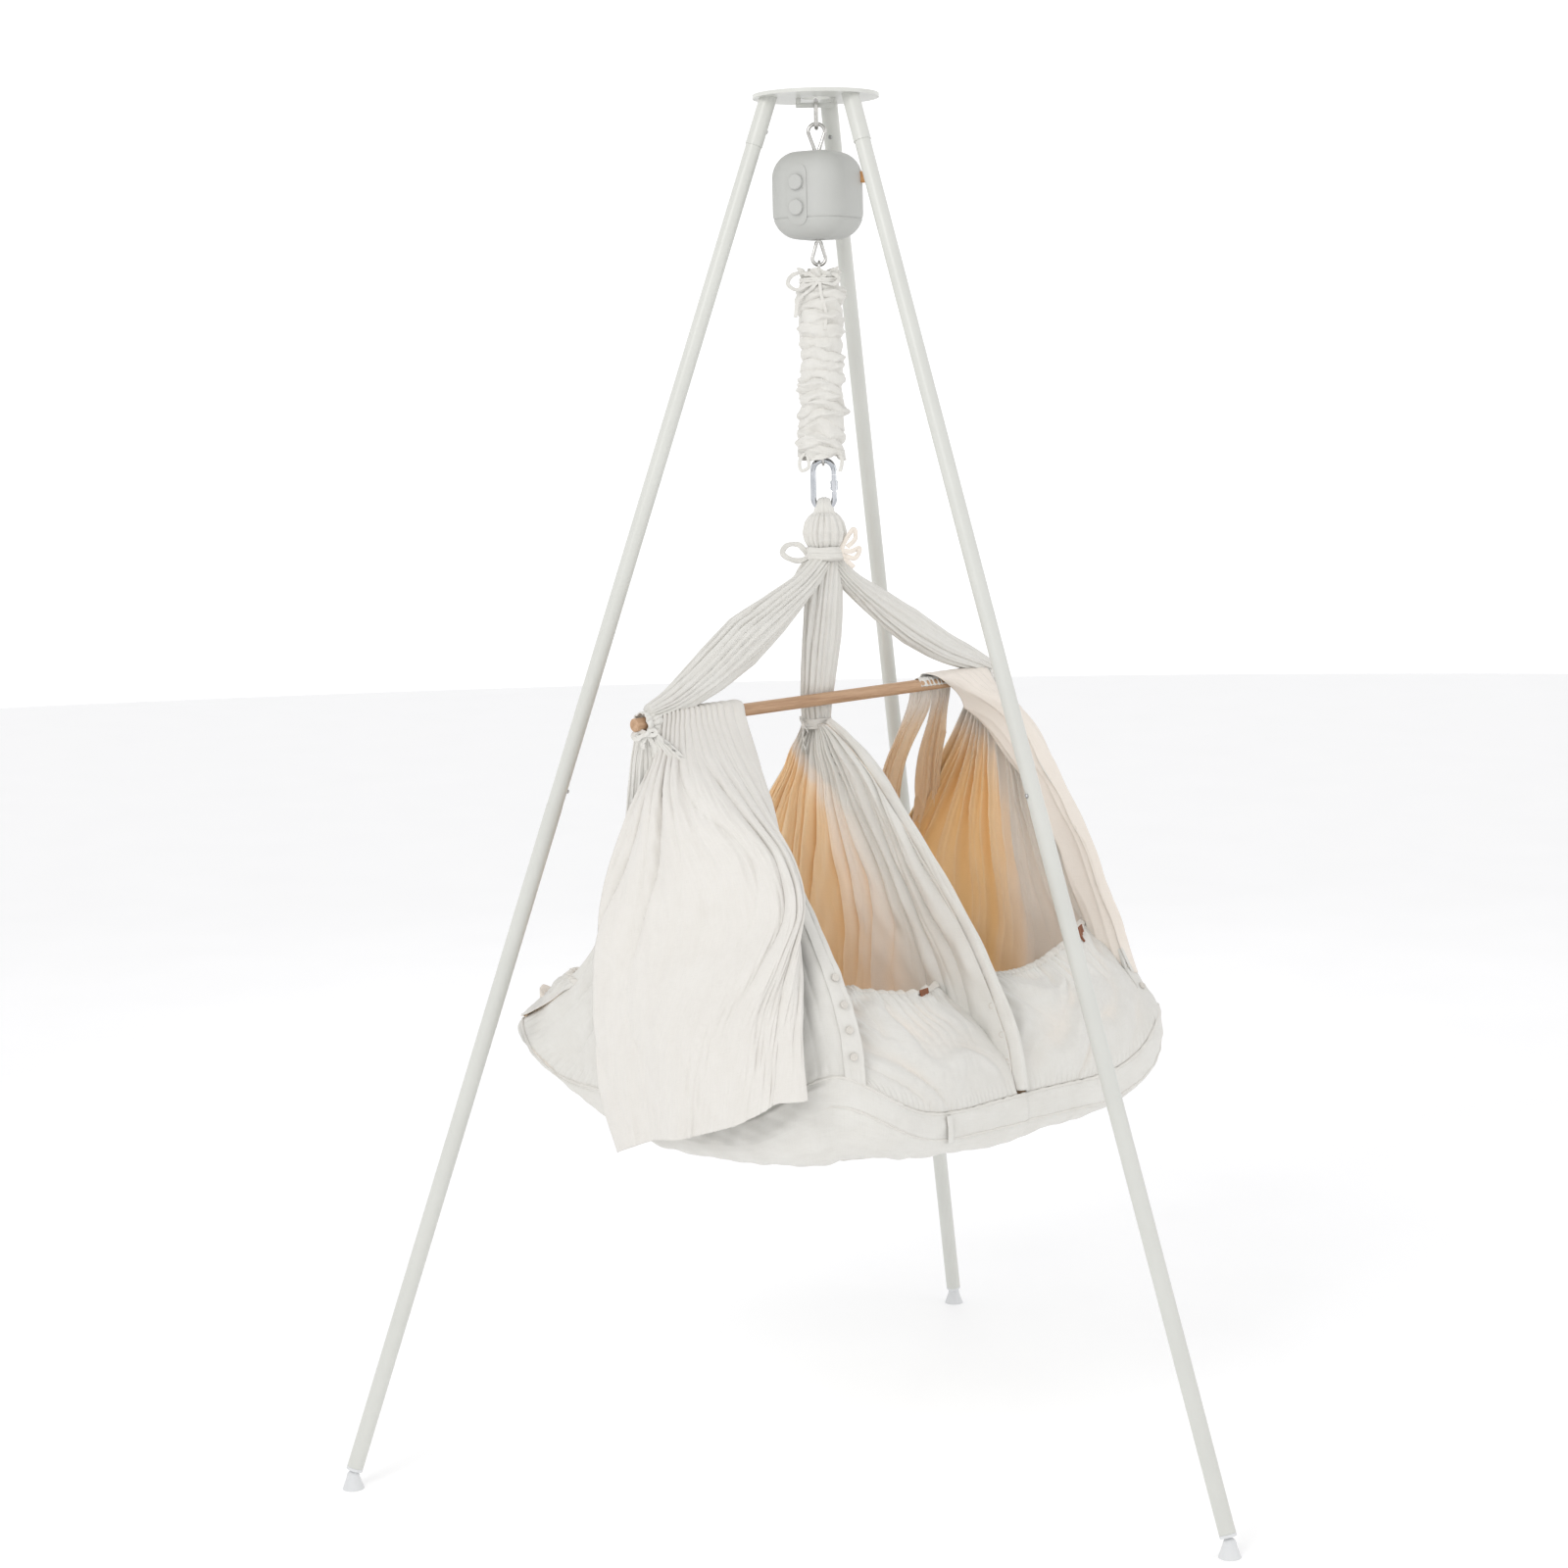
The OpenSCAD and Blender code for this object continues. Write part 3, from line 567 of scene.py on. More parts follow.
def make_sleeve():
    nu, nv = 330, 240
    z = np.linspace(1.662, 1.404, nu)
    a = angles(nv)
    r = np.interp(z, [1.404, 1.414, 1.428, 1.46, 1.54, 1.6, 1.632, 1.643, 1.652, 1.662],
                  [0.0275, 0.0262, 0.0278, 0.0285, 0.0272, 0.0290, 0.0305, 0.0235, 0.0235, 0.0282])[:, None]
    Z, A = np.meshgrid(z, a, indexing="ij")
    place = np.stack([np.cos(A) * 0.03, np.sin(A) * 0.03, Z], -1)
    bend = 0.0075 * noise(place, 5, 0.06) + 0.006 * np.sin(A + 1.0)
    folds = 0.0019 * pleat((Z + bend) / 0.0152)
    draw = np.random.default_rng(11)
    for _ in range(95):
        z0, a0 = draw.uniform(1.405, 1.648), draw.uniform(0, 2 * PI)
        span, tilt = draw.uniform(0.35, 1.25), draw.uniform(-0.012, 0.012)
        width, high = draw.uniform(0.0028, 0.0055), draw.uniform(0.0022, 0.0052)
        da = (A - a0 + PI) % (2 * PI) - PI
        off = np.abs(Z - z0 - tilt * da) / width
        folds += high * np.exp(-off**1.4) * np.exp(-(da / span)**4)
    mouth = smooth((1.658 - Z) / 0.012)
    ruffle = (1 - mouth) * 0.0035 * np.sin(9 * A + 2 * noise(place, 8,
            0.05)) + smooth((1.412 - Z) / 0.01) * 0.003 * np.sin(8 * A)
    R = r + folds * (0.25 + 0.75 * mouth) - 0.0012 + ruffle
    Z = Z + (1 - mouth) * 0.003 * np.cos(5 * A) + 0.0016 * noise(place, 9,
            0.02) + smooth((1.415 - Z) / 0.01) * 0.0035 * np.sin(3 * A)
    P = np.stack([R * np.cos(A), R * np.sin(A), Z], -1)
    # Painted shade: a warm tint in the fold hollows of the sleeve's outside; the inner side gets a faint
    # even amber.
    fold_hollow_shade = np.clip(-folds / 0.002, 0, 1) * 0.12
    obj = Build().sheet(P, 0.0013, fold_hollow_shade, 0.1, loop=True).make(
        "sleeve_cloth", slot="sleeve_fabric", hides=("spring_sleeve",), ride=False)
    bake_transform(obj)


CAM_RIGHT = np.array([0.7146, -0.6995, 0.0])
CAM_NEAR = np.array([-0.6995, -0.7146, 0.0])
DOWN = np.array([0, 0, -1.0])


def moves(start, *steps):
    """A tape's points: its start, then places right, down and towards the camera, in millimetres."""
    return [start] + [start + (a * CAM_RIGHT + b * DOWN + c * CAM_NEAR) / 1000 for a, b, c in steps]


def ring_band(centre, radius, height, seed, folds, squeeze=(1, 1)):
    """A band of tape wound round a bunch, lying a little unevenly."""
    a = angles(96)
    s = np.linspace(0.5, -0.5, 12)
    S, A = np.meshgrid(s, a, indexing="ij")
    q = np.stack([np.cos(A), np.sin(A), S * 2], -1)
    R = radius * (1 + 0.03 * noise(q, seed, 0.8)) + 0.0012 * np.cos(PI * S) + 0.0006 * pleat(folds
            * (S + 0.06 * noise(q, seed + 1, 1.2)))
    Z = S * height * (1 + 0.1 * noise(q[..., :2], seed + 2, 1.0))
    return np.stack([centre[0] + squeeze[0] * R * np.cos(A), centre[1] + squeeze[1] * R * np.sin(A),
                     centre[2] + Z], -1)


def make_strings():
    top = Build()
    top.sheet(ring_band((0, 0, 1.6475), 0.0262, 0.006, 3, 1), BAND_THICK, loop=True)
    at = CAM_NEAR * 0.027 + np.array([0, 0, 1.647])
    bow(top, at, CAM_RIGHT, DOWN, 0.026, 0.0055, 21, (0, 0), (1.5, 0.9))
    for pts, seed in (
        (moves(at, (-12, 12, 4), (-30, 28, 0), (-34, 50, 0)), 31),
        (moves(at, (2, 20, 5), (8, 45, 4), (6, 68, 3)), 32),
    ):
        top.sheet(tape(pts, 0.0048, CAM_NEAR, 40, seed), TAPE_THICK)
    top.make("sleeve_top_string", "stroke", "sleeve_fabric")
    low = Build()
    low.sheet(ring_band((0, 0, 1.414), 0.0262, 0.006, 7, 1), BAND_THICK, loop=True)
    at = np.array([0, 0, 1.413]) - CAM_RIGHT * 0.022 + CAM_NEAR * 0.016
    side = np.array([0, 0, 1.413]) + CAM_RIGHT * 0.02 + CAM_NEAR * 0.018
    low.sheet(tape(moves(at, (-10, 10, 0), (-8, 26, 0), (1, 22, 3), (0, 3, 3)), 0.0045, CAM_NEAR, 44, 41),
              TAPE_THICK)
    low.sheet(tape(moves(side, (6, 12, 0), (3, 28, 0)), 0.005, CAM_NEAR, 30, 42), TAPE_THICK)
    low.make("sleeve_low_string", "hanger", "sleeve_fabric")


make_spring()
make_sleeve()
make_strings()


# ---------------------------------------------------------------- head, strands and ties

def pleated(lobes, depth, seed, drift=0.35, rate=1.0):
    """A radius that falls into sharp valleys along the length, which wander and merge."""
    def swell(s, a):
        q = paired(np.cos(a), np.sin(a), s * rate)
        turn = lobes * a / (2 * PI) + drift * noise(q, seed, 1.6)
        fine = 1.7 * lobes * a / (2 * PI) + drift * noise(q, seed + 1, 1.2)
        return 1 + depth * pleat(turn) + 0.35 * depth * pleat(np.round(1.7 * lobes) / (1.7 * lobes) * fine)
    return swell


HEAD_TURN = -45


def make_head():
    build = Build()
    z = np.linspace(1.3285, 1.262, 70)
    steps = [1.262, 1.268, 1.281, 1.289, 1.301, 1.315, 1.3235, 1.3285]
    half_x = np.interp(z, steps, [0.019, 0.0205, 0.0215, 0.026, 0.0285, 0.0255, 0.0205, 0.015])
    half_y = np.interp(z, steps, [0.019, 0.0205, 0.0215, 0.026, 0.0285, 0.0275, 0.025, 0.0185])
    a = angles(200)
    s = np.linspace(0, 1, 70)[:, None]
    r = pleated(17, 0.075, 51, 0.3)(s, a[None])
    P = np.stack([half_x[:, None] * r * np.cos(a), half_y[:, None] * r * np.sin(a),
                  np.broadcast_to(z[:, None], r.shape)], -1)
    build.tube(turned(P, HEAD_TURN))
    b = np.linspace(-0.35, PI + 0.35, 60)
    path = np.stack([np.zeros(60), 0.0112 * np.cos(b), 1.334 + 0.0112 * np.sin(b)], 1)
    path[:, 2] -= 0.004 * (np.abs(b - PI / 2) > PI / 2)
    wide = np.interp(np.abs(b - PI / 2), [0, 1.2, 1.9], [0.0082, 0.0098, 0.016])
    build.tube(turned(swept(path, (1, 0, 0), 0.0046, wide, 84, pleated(9, 0.1, 55, 0.3)), HEAD_TURN))
    build.make("head_gather", hides=("head_loop",))
    tie = Build()
    tie.sheet(ring_band((0, 0, 1.2715), 0.0243, 0.0195, 61, 3), BAND_THICK, loop=True)
    tie.sheet(ring_band((0, 0, 1.268), 0.0255, 0.0085, 63, 1), BAND_THICK, loop=True)
    left = np.array([0, 0, 1.268]) - 0.023 * CAM_RIGHT + 0.01 * CAM_NEAR
    right = np.array([0, 0, 1.276]) + 0.022 * CAM_RIGHT + 0.012 * CAM_NEAR
    bow(tie, left, CAM_RIGHT, DOWN, 0.026, 0.0075, 71, (1.2, 0.0), (1.25, 0.0))
    tie.sheet(tape(moves(left, (-14, 20, 0), (-20, 34, 4), (-8, 40, 0), (-2, 26, 0)), 0.006, CAM_NEAR, 44,
                   72), TAPE_THICK)
    for pts, seed in (
        (moves(right, (8, -16, 0), (19, -29, 0), (21, -18, 0), (9, -4, 0)), 74),
        (moves(right, (14, 2, 0), (26, -3, 0), (20, 11, 0), (6, 8, 0)), 75),
        (moves(right, (8, 14, 0), (18, 24, 0)), 76),
    ):
        tie.sheet(tape(pts, 0.0062, CAM_NEAR, 44, seed), TAPE_THICK, 0.25)
    tie.make("head_tie_tape", hides=("head_tie",))


def strand(name, points, half_side, half_top, lobes, depth, seed):
    n = 240
    s = np.linspace(0, 1, n)
    w, t = (np.interp(s, np.linspace(0, 1, len(half)), half) for half in (half_side, half_top))
    P = swept(curve(points, n), (0, 1, 0), w, t, 176, pleated(lobes, depth, seed, 0.4, 2.0))
    Build().tube(P).make(f"{name}_strand_cloth", hides=(f"{name}_strand",))


def make_strands():
    strand("centre",
           mm([(0, 0, 1266), (0, 2, 1240), (0, 8, 1170), (0, 18, 1100), (0, 23.5, 1062), (0, 24, 1036)]),
           [0.020, 0.027, 0.030, 0.031, 0.029, 0.026, 0.021],
           [0.017, 0.016, 0.0145, 0.0135, 0.0125, 0.012, 0.013], 17, 0.12, 81)
    zl, zr = bar_z(-0.335), bar_z(0.335)
    strand("left",
           [(-0.006, -0.003, 1.266), (-0.035, -0.004, 1.24), (-0.10, -0.004, 1.196), (-0.17, -0.003, 1.155),
            (-0.24, -0.001, 1.112), (-0.30, 0, 1.082), (-0.331, 0, zl + 0.013)],
           [0.012, 0.017, 0.026, 0.033, 0.029, 0.021, 0.0115],
           [0.013, 0.014, 0.0145, 0.015, 0.015, 0.014, 0.0115], 15, 0.13, 83)
    strand("right",
           [(0.008, -0.003, 1.262), (0.04, -0.004, 1.234), (0.10, -0.004, 1.196), (0.17, -0.003, 1.158),
            (0.24, -0.001, 1.125), (0.30, 0, 1.103), (0.331, 0, zr + 0.013)],
           [0.011, 0.015, 0.021, 0.024, 0.0215, 0.0175, 0.0115],
           [0.013, 0.013, 0.0135, 0.014, 0.0145, 0.014, 0.0115], 13, 0.11, 85)


def bar_wrap(x, radius, length, seed):
    """Gathered cloth tied round the bar."""
    a = angles(90)
    s = np.linspace(-0.5, 0.5, 26)
    S, A = np.meshgrid(s, a, indexing="ij")
    q = np.stack([np.cos(A), np.sin(A), S * 3], -1)
    R = radius * (1 + 0.05 * noise(q, seed, 1.0)) + 0.0014 * pleat(11 * A / (2 * PI)
            + 0.5 * noise(q, seed + 1, 1.5)) - 0.0035 * np.exp(-(S / 0.13)**2)
    X = x + S * length * (1 + 0.08 * np.sin(3 * A))
    return np.stack([X, R * np.cos(A), bar_z(x) + R * np.sin(A)], -1)


def make_ties():
    for side, name in ((-1, "left"), (1, "right")):
        x = side * 0.335
        build = Build()
        build.sheet(bar_wrap(x, 0.0142, 0.025, 91 + side), 0.002, loop=True)
        low = np.array([x + side * 0.008, -0.008, bar_z(x) - 0.012])
        if side < 0:
            bow(build, low + np.array([-0.006, -0.006, 0.0]), CAM_RIGHT, DOWN, 0.017, 0.006, 93, (1.2, 1.9),
                (1.0, 0.6))
        else:
            bow(build, low, (1, 0.3, 0), DOWN, 0.017, 0.006, 95, (1.5, 1.2), (0.8, 0.9))
        build.make(f"{name}_tie_tape", hides=(f"{name}_tie",))
    build = Build()
    build.sheet(ring_band((0, 0.024, 1.035), 0.0228, 0.011, 97, 2, squeeze=(1, 0.68)), BAND_THICK,
                loop=True)
    build.sheet(ring_band((0, 0.024, 1.029), 0.0222, 0.006, 98, 1, squeeze=(1, 0.68)), BAND_THICK,
                loop=True)
    at = np.array([-0.018, 0.026, 1.030])
    bow(build, at, -CAM_NEAR, DOWN, 0.024, 0.0075, 99, (1.6, 1.9), (1.0, 1.0))
    build.make("centre_tie_tape", hides=("centre_tie",))


make_head()
make_strands()
make_ties()


# ---------------------------------------------------------------- cradle: base

HALF_X, HALF_Y, ROUND = 0.357, 0.352, 0.125
SIDE_X, SIDE_Y, ARC = HALF_X - ROUND, HALF_Y - ROUND, ROUND * PI / 2
ROUND_TRIP = 4 * (SIDE_X + SIDE_Y + ARC)
CORNERS = [SIDE_X + ARC / 2, SIDE_X + 1.5 * ARC + 2 * SIDE_Y, 3 * SIDE_X + 2.5 * ARC + 2 * SIDE_Y,
           3 * SIDE_X + 3.5 * ARC + 4 * SIDE_Y]


def apart(s, at):
    """How far apart two places on the rim are, the shorter way round."""
    return np.abs((s - at + ROUND_TRIP / 2) % ROUND_TRIP - ROUND_TRIP / 2)


def rim(s):
    """Place, outward direction and seam height of the base's rim, s metres from its front middle."""
    s = np.asarray(s, float) % ROUND_TRIP
    stops = np.cumsum([SIDE_X, ARC, 2 * SIDE_Y, ARC, 2 * SIDE_X, ARC, 2 * SIDE_Y, ARC, SIDE_X])
    k = np.minimum(np.searchsorted(stops, s, side="right"), 8)
    start = np.r_[0, stops][k]
    turn = (k // 2) * PI / 2 + np.where(k % 2 == 1, (s - start) / ROUND, 0)
    nx, ny = np.sin(turn), -np.cos(turn)
    half = np.array([0, 0, SIDE_Y, 0, SIDE_X, 0, SIDE_Y, 0, SIDE_X])[k]
    along = np.where(k % 2 == 1, 0, s - start - half)
    cx = np.array([0, SIDE_X, SIDE_X, SIDE_X, 0, -SIDE_X, -SIDE_X, -SIDE_X, 0])[k]
    cy = np.array([-SIDE_Y, -SIDE_Y, 0, SIDE_Y, SIDE_Y, SIDE_Y, 0, -SIDE_Y, -SIDE_Y])[k]
    x = cx + ROUND * nx - ny * along
    y = cy + ROUND * ny + nx * along
    d = np.min([apart(s, c) for c in CORNERS], axis=0)
    z = 0.551 + 0.070 * np.exp(-(d / 0.093)**1.8) + 0.002 * np.sin(s * 17 + 1)
    return x + 0.008, y - 0.004, nx, ny, z


BASE_AT = np.array([0.008, -0.004])
BASE_FLOOR = 0.4895
SKIN_INSET = 0.02
# Each step of a skin: how far out of the rim, then shares of the band and of the fall to the floor.
BAND_PLAN = [(0.0, 0.0, 0), (0.0025, 0.06, 0), (0.0045, 0.3, 0), (0.0048, 0.62, 0), (0.0036, 0.92, 0),
             (0.0022, 1.0, 0),
             (0.0030, 1.04, 0.01), (0.0026, 1.1, 0.1), (-0.001, 1.1, 0.35), (-0.008, 1.1, 0.62),
             (-0.02, 1.1, 0.85), (-0.036, 1.1, 0.96),
             (-0.052, 1.1, 1.0), (-0.0545, 1.1, 1.02), (-0.057, 1.1, 1.0), (-0.08, 1.1, 1.03),
             (-0.12, 1.1, 1.07), (-0.17, 1.1, 1.1),
             (-0.22, 1.1, 1.12), (-0.27, 1.1, 1.13), (-0.32, 1.1, 1.13), (-0.347, 1.1, 1.13)]
WALL_PLAN = [(0.0, 0.0, 0), (0.001, 0.2, 0), (0.0012, 0.6, 0), (0.001, 1.0, 0.02), (0.0005, 1.1, 0.12),
             (-0.002, 1.1, 0.35), (-0.008, 1.1, 0.62),
             (-0.02, 1.1, 0.85), (-0.036, 1.1, 0.96), (-0.052, 1.1, 1.0), (-0.075, 1.1, 1.02),
             (-0.10, 1.1, 1.04)]


def corner_lift(s):
    """How far the underside is pulled up at each corner of the base."""
    total = 0
    for at, lift, width in zip(CORNERS, (0.062, 0.062, 0.115, 0.012), (0.12, 0.12, 0.19, 0.12)):
        total = total + lift * np.exp(-(apart(s, at) / width)**2)
    return total


def base_skin(s, plan, n_rows, grow=0.0):
    """The base's outside from its rim, down its side and in under it."""
    x, y, nx, ny, z = rim(s)
    lift = corner_lift(s)
    corner = (z - 0.551) / 0.07
    band = np.minimum(0.034 + 0.004 * np.sin(5 * s) + 0.006 * corner, 0.8 * (z - BASE_FLOOR - lift))
    out, part, fall = (np.interp(np.linspace(0, len(plan) - 1, n_rows), np.arange(len(plan)),
            [p[k] for p in plan])[:, None] for k in range(3))
    share = np.clip((-out - SKIN_INSET) / 0.332, 0, 1)
    ground = BASE_FLOOR + lift * (1 - share)**2
    zz = z - band * part
    zz = zz + (ground - zz) * fall
    px = np.where(out > -SKIN_INSET, x + out * nx, (x - SKIN_INSET * nx - BASE_AT[0]) * (1 - share)
                  + BASE_AT[0])
    py = np.where(out > -SKIN_INSET, y + out * ny, (y - SKIN_INSET * ny - BASE_AT[1]) * (1 - share)
                  + BASE_AT[1])
    P = np.stack([px, py, zz], -1)
    q = P * np.array([1, 1, 1.6])
    soft = smooth(fall * 1.3)
    start = smooth(part * 4)
    wrinkle = (0.0022 * noise(q, 101, 0.09) + 0.0014 * noise(q, 102, 0.035)) * start
    P[..., 2] -= soft * (0.004 * noise(P[..., :2], 104, 0.3) + wrinkle)
    P[..., 0] += (1 - soft) * wrinkle * nx * 0.8
    P[..., 1] += (1 - soft) * wrinkle * ny * 0.8
    P[..., 0] += grow * nx * (1 - soft) * start
    P[..., 1] += grow * ny * (1 - soft) * start
    P[..., 2] -= grow * soft
    return P, nx, ny


def make_base():
    s = np.linspace(0, ROUND_TRIP, 620, endpoint=False)
    P, nx, ny = base_skin(s, BAND_PLAN, 130)
    middle = P[-1].mean(0)
    patch = (P[-1] - middle) * np.array([1.3, 1.3, 1]) + middle
    # The base's inner side gets some of the inner sides' amber, partly the lining's colour and partly
    # painted light inside the cradle.
    cover = Build().sheet(P, BASE_THICK, 0.0, 0.25, loop=True)
    cover.tube(np.stack([patch + (0, 0, d) for d in (0.0012, -0.0012)]))
    cover.make("base_cloth", hides=("base_cover",))
    seams = Build()
    for row, size, seed in ((0.0, 0.0026, 111), (5.3, 0.0017, 112), (12.6, 0.0016, 113)):
        k = int(round(row / (len(BAND_PLAN) - 1) * 129))
        path = P[k] + np.stack([nx, ny, np.zeros_like(nx)], 1) * 0.0012
        fray = 1 + 0.28 * noise(np.stack([np.cos(2 * PI * s / ROUND_TRIP), np.sin(2 * PI * s / ROUND_TRIP)],
                1), seed, 0.03)
        closed = np.concatenate([path[-1:], path, path[:1]])
        tan = unit(closed[2:] - closed[:-2])
        side = unit(np.cross(tan, (0, 0, 1.0)))
        a = angles(10)
        r = size * fray
        ring = path[:, None] + r[:, None, None] * (side[:, None] * np.cos(a)[:, None]
                + np.cross(side, tan)[:, None] * np.sin(a)[:, None])
        index = np.arange(ring.shape[0] * 10).reshape(-1, 10)
        index = np.concatenate([index, index[:1]])
        index = np.concatenate([index, index[:, :1]], 1)
        faces = np.stack([index[:-1, :-1], index[:-1, 1:], index[1:, 1:], index[1:, :-1]], -1).reshape(-1,
                4)
        seams.add(ring.reshape(-1, 3), faces, np.stack([np.repeat(s, 10), np.tile(a * size, len(s))], 1),
                  np.full(ring.shape[0] * 10, 0.08))
    jx, jy, _, _, jz = (float(k[0]) for k in rim(np.array([ROUND_TRIP - 0.158])))
    strip = curve([(jx, jy - 0.007, jz - 0.001), (jx + 0.001, jy - 0.0085, jz - 0.02),
                   (jx + 0.002, jy - 0.007, jz - 0.039)], 14)
    seams.sheet(tape(strip, 0.010, (0, -1, 0), 20, 5, 0.02), TAPE_THICK)
    seams.make("base_seams")


# ---------------------------------------------------------------- cradle: walls and divider

def fan(top, base, spread, n_rows, normal, folds, seed):
    """Cloth gathered at the top and sewn along the base, with folds that merge on the way down."""
    nv = len(base)
    u, v = shares(n_rows, nv)
    across = spread(u, v)
    P = np.empty((n_rows, nv, 3))
    for k in (0, 1):
        P[..., k] = top[:, k] + (base[:, k] - top[:, k]) * across
    P[..., 2] = top[:, 2] + (base[:, 2] - top[:, 2]) * u
    q = paired(v * 2.2, u * 1.1)
    drift = 0.5 * noise(q, seed, 0.7)
    d = (0.0034 * np.exp(-(u / 0.34)**2) * pleat(2.0 * folds * v + 1.6 * drift)
         + 0.0060 * smooth(u / 0.1) * (1 - smooth((u - 0.35) / 0.6)) * pleat(folds * v + drift)
         + 0.0050 * smooth(u / 0.3) * (1 - 0.75 * smooth((u - 0.6) / 0.4))
         * pleat(0.5 * folds * v + 0.7 * drift + 0.2)
         + 0.0012 * smooth((u - 0.93) / 0.07) * pleat(3.5 * folds * v + drift)
         + 0.0016 * smooth(u / 0.4) * noise(q, seed + 3, 0.16))
    if normal[0] < 0:
        under = smooth((v - 0.45) / 0.2) * (1 - smooth((u - 0.55) / 0.25))
        d = d * (1 - 0.6 * under) - 0.006 * under * smooth(u / 0.1)
    d = d * (1 - 0.8 * smooth((u - 0.97) / 0.03))
    low = smooth(u)[..., None]
    lean = unit(np.array(normal) * (1 - low) + base[:, 3:5] * low)
    P[..., 0] += d * lean[..., 0]
    P[..., 1] += d * lean[..., 1]
    return P, u, v, d


def rim_span(a, b, n, inset=0.0, lift=0.0):
    x, y, nx, ny, z = rim(np.linspace(a, b, n))
    return np.stack([x - inset * nx, y - inset * ny, z + lift, nx, ny], 1)


def top_span(x, z, half, n, reverse=False):
    v = np.linspace(-1, 1, n) * (-1 if reverse else 1)
    return np.stack([np.full(n, x), half * v, np.full(n, z)], 1)


WALL_ROWS, SKIN_ROWS, WALL_COLUMNS, HEM_COLUMNS = 250, 70, 420, 17


def wall(span, top, spread, normal, seed):
    """A side wall: the fan down to the rim, and on round the base's side and under it."""
    s = np.linspace(*span, WALL_COLUMNS)
    side = np.linspace(0, 1, WALL_COLUMNS)
    tuck = 1 - smooth(np.minimum(side, 1 - side) / 0.09)
    skin, nx, ny = base_skin(s, WALL_PLAN, SKIN_ROWS, 0.0045 - 0.0085 * tuck)
    base = np.concatenate([skin[0], np.stack([nx, ny], 1)], 1)
    P, u, v, d = fan(top, base, spread, WALL_ROWS, normal, 15, seed)
    P = np.concatenate([P[:-1], skin])
    u = np.concatenate([u[:-1], np.ones((len(skin), 1))])
    return P, u, v, np.concatenate([d[:-1], 0 * skin[..., 0]])


def painted_valley_shade(d):
    """Painted shade: a little warm tint in the valleys of the outside's folds."""
    return np.clip(-0.02 - 24 * np.clip(d, -0.008, 0), 0, 0.16)


def make_walls():
    def left_spread(u, v):
        back = np.interp(u, [0, 0.3, 0.63, 0.79, 0.94, 1], [0, 0.05, 0.24, 0.5, 0.82, 1])
        front = np.interp(u, [0, 0.2, 0.43, 0.54, 0.68, 0.77, 0.87, 1],
                          [0, 0.36, 0.70, 0.785, 0.888, 0.94, 0.98, 1])
        w = smooth((v - 0.1) / 0.8)
        return back * (1 - w) + front * w
    top = top_span(-0.338, bar_z(-0.335) - 0.011, 0.021, WALL_COLUMNS, True)
    P, u, v, d = wall((1.60, 2.33), top, left_spread, (-1, 0), 121)
    # Inner side: amber growing downwards, partly the lining's own colour and partly painted light inside
    # the cradle; the outer side gets painted shade in its fold valleys.
    inside = np.clip(0.25 + 0.75 * smooth(u * 1.3) - 0.2 * v, 0, 1)
    inside[-SKIN_ROWS - 2:] = 0.0
    valley_shade = painted_valley_shade(d)
    Build().sheet(P[:, ::-1], WALL_THICK, inside[:, ::-1], valley_shade[:, ::-1]).make("left_wall_cloth",
            hides=("left_wall",))
    left = P
    def right_spread(u, v):
        front = np.interp(u, [0, 0.17, 0.34, 0.48, 0.595, 0.72, 0.86, 1],
                          [0, 0.10, 0.25, 0.43, 0.54, 0.68, 0.81, 1])
        back = np.interp(u, [0, 0.06, 0.456, 1], [0, 0.07, 0.44, 1])
        w = smooth((v - 0.1) / 0.8)
        return front * (1 - w) + back * w
    top = top_span(0.338, bar_z(0.335) - 0.011, 0.021, WALL_COLUMNS)
    P, u, v, d = wall((0.29, 1.02), top, right_spread, (1, 0), 131)
    # Inner side: amber below a slanting line, partly the lining's own colour and partly painted light
    # inside the cradle; the d term adds painted shade in the inner fold valleys and takes some off the
    # ridges.
    line = np.interp(u, [0, 0.1, 0.2, 0.35, 1], [0.75, 0.55, 0.42, 0.37, 0.34])
    inside = 0.20 * smooth((v - line + 0.26) / 0.14) * smooth(u / 0.16) + 0.62 * smooth((v - line
            - 0.02) / 0.20) * smooth((u - 0.08) / 0.22)
    inside = np.clip(inside + 0.05 + 18 * np.clip(d, -0.006, 0.006) * smooth(inside), 0, 1)
    inside[-SKIN_ROWS - 2:] = 0.0
    valley_shade = painted_valley_shade(d)
    Build().sheet(P[:, ::-1], WALL_THICK, inside[:, ::-1], valley_shade[:, ::-1]).make("right_wall_cloth",
            hides=("right_wall",))
    right = P
    for name, grid, front in (("left", left, -1), ("right", right, 0)):
        hem = Build()
        cols = slice(WALL_COLUMNS - HEM_COLUMNS, WALL_COLUMNS) if front else slice(0, HEM_COLUMNS)
        strip = grid[6:WALL_ROWS, cols].copy()
        flow = unit(np.cross(np.gradient(strip, axis=0), np.gradient(strip, axis=1)))
        centre = np.array([0, 0, 0.8])
        flow *= np.sign(np.sum(flow * (strip - centre), -1, keepdims=True))
        wave = 0.0006 * np.sin(np.arange(strip.shape[0]) / 3.1)[:, None, None]
        outer = strip + flow * (0.0026 + wave)
        inner = strip - flow * (0.0026 + wave)
        ordered = (outer, inner[:, ::-1]) if front else (outer[:, ::-1], inner)
        loop = np.concatenate(ordered, 1)
        hem.tube(loop)
        hem.make(f"{name}_wall_hem")
        yield strip, flow


FRONT_EDGE = mm([(0, 0, 1036), (0, -40, 1012), (0, -89, 973), (0, -145, 913), (0, -221, 824),
                 (0, -288, 736), (0, -326, 668), (0, -349, 615), (0, -357, 558)])
BACK_EDGE = mm([(0, 40, 1036), (0, 66, 991), (0, 123, 917), (0, 210, 790), (0, 290, 670), (0, 333, 595),
                (0, 345, 558)])


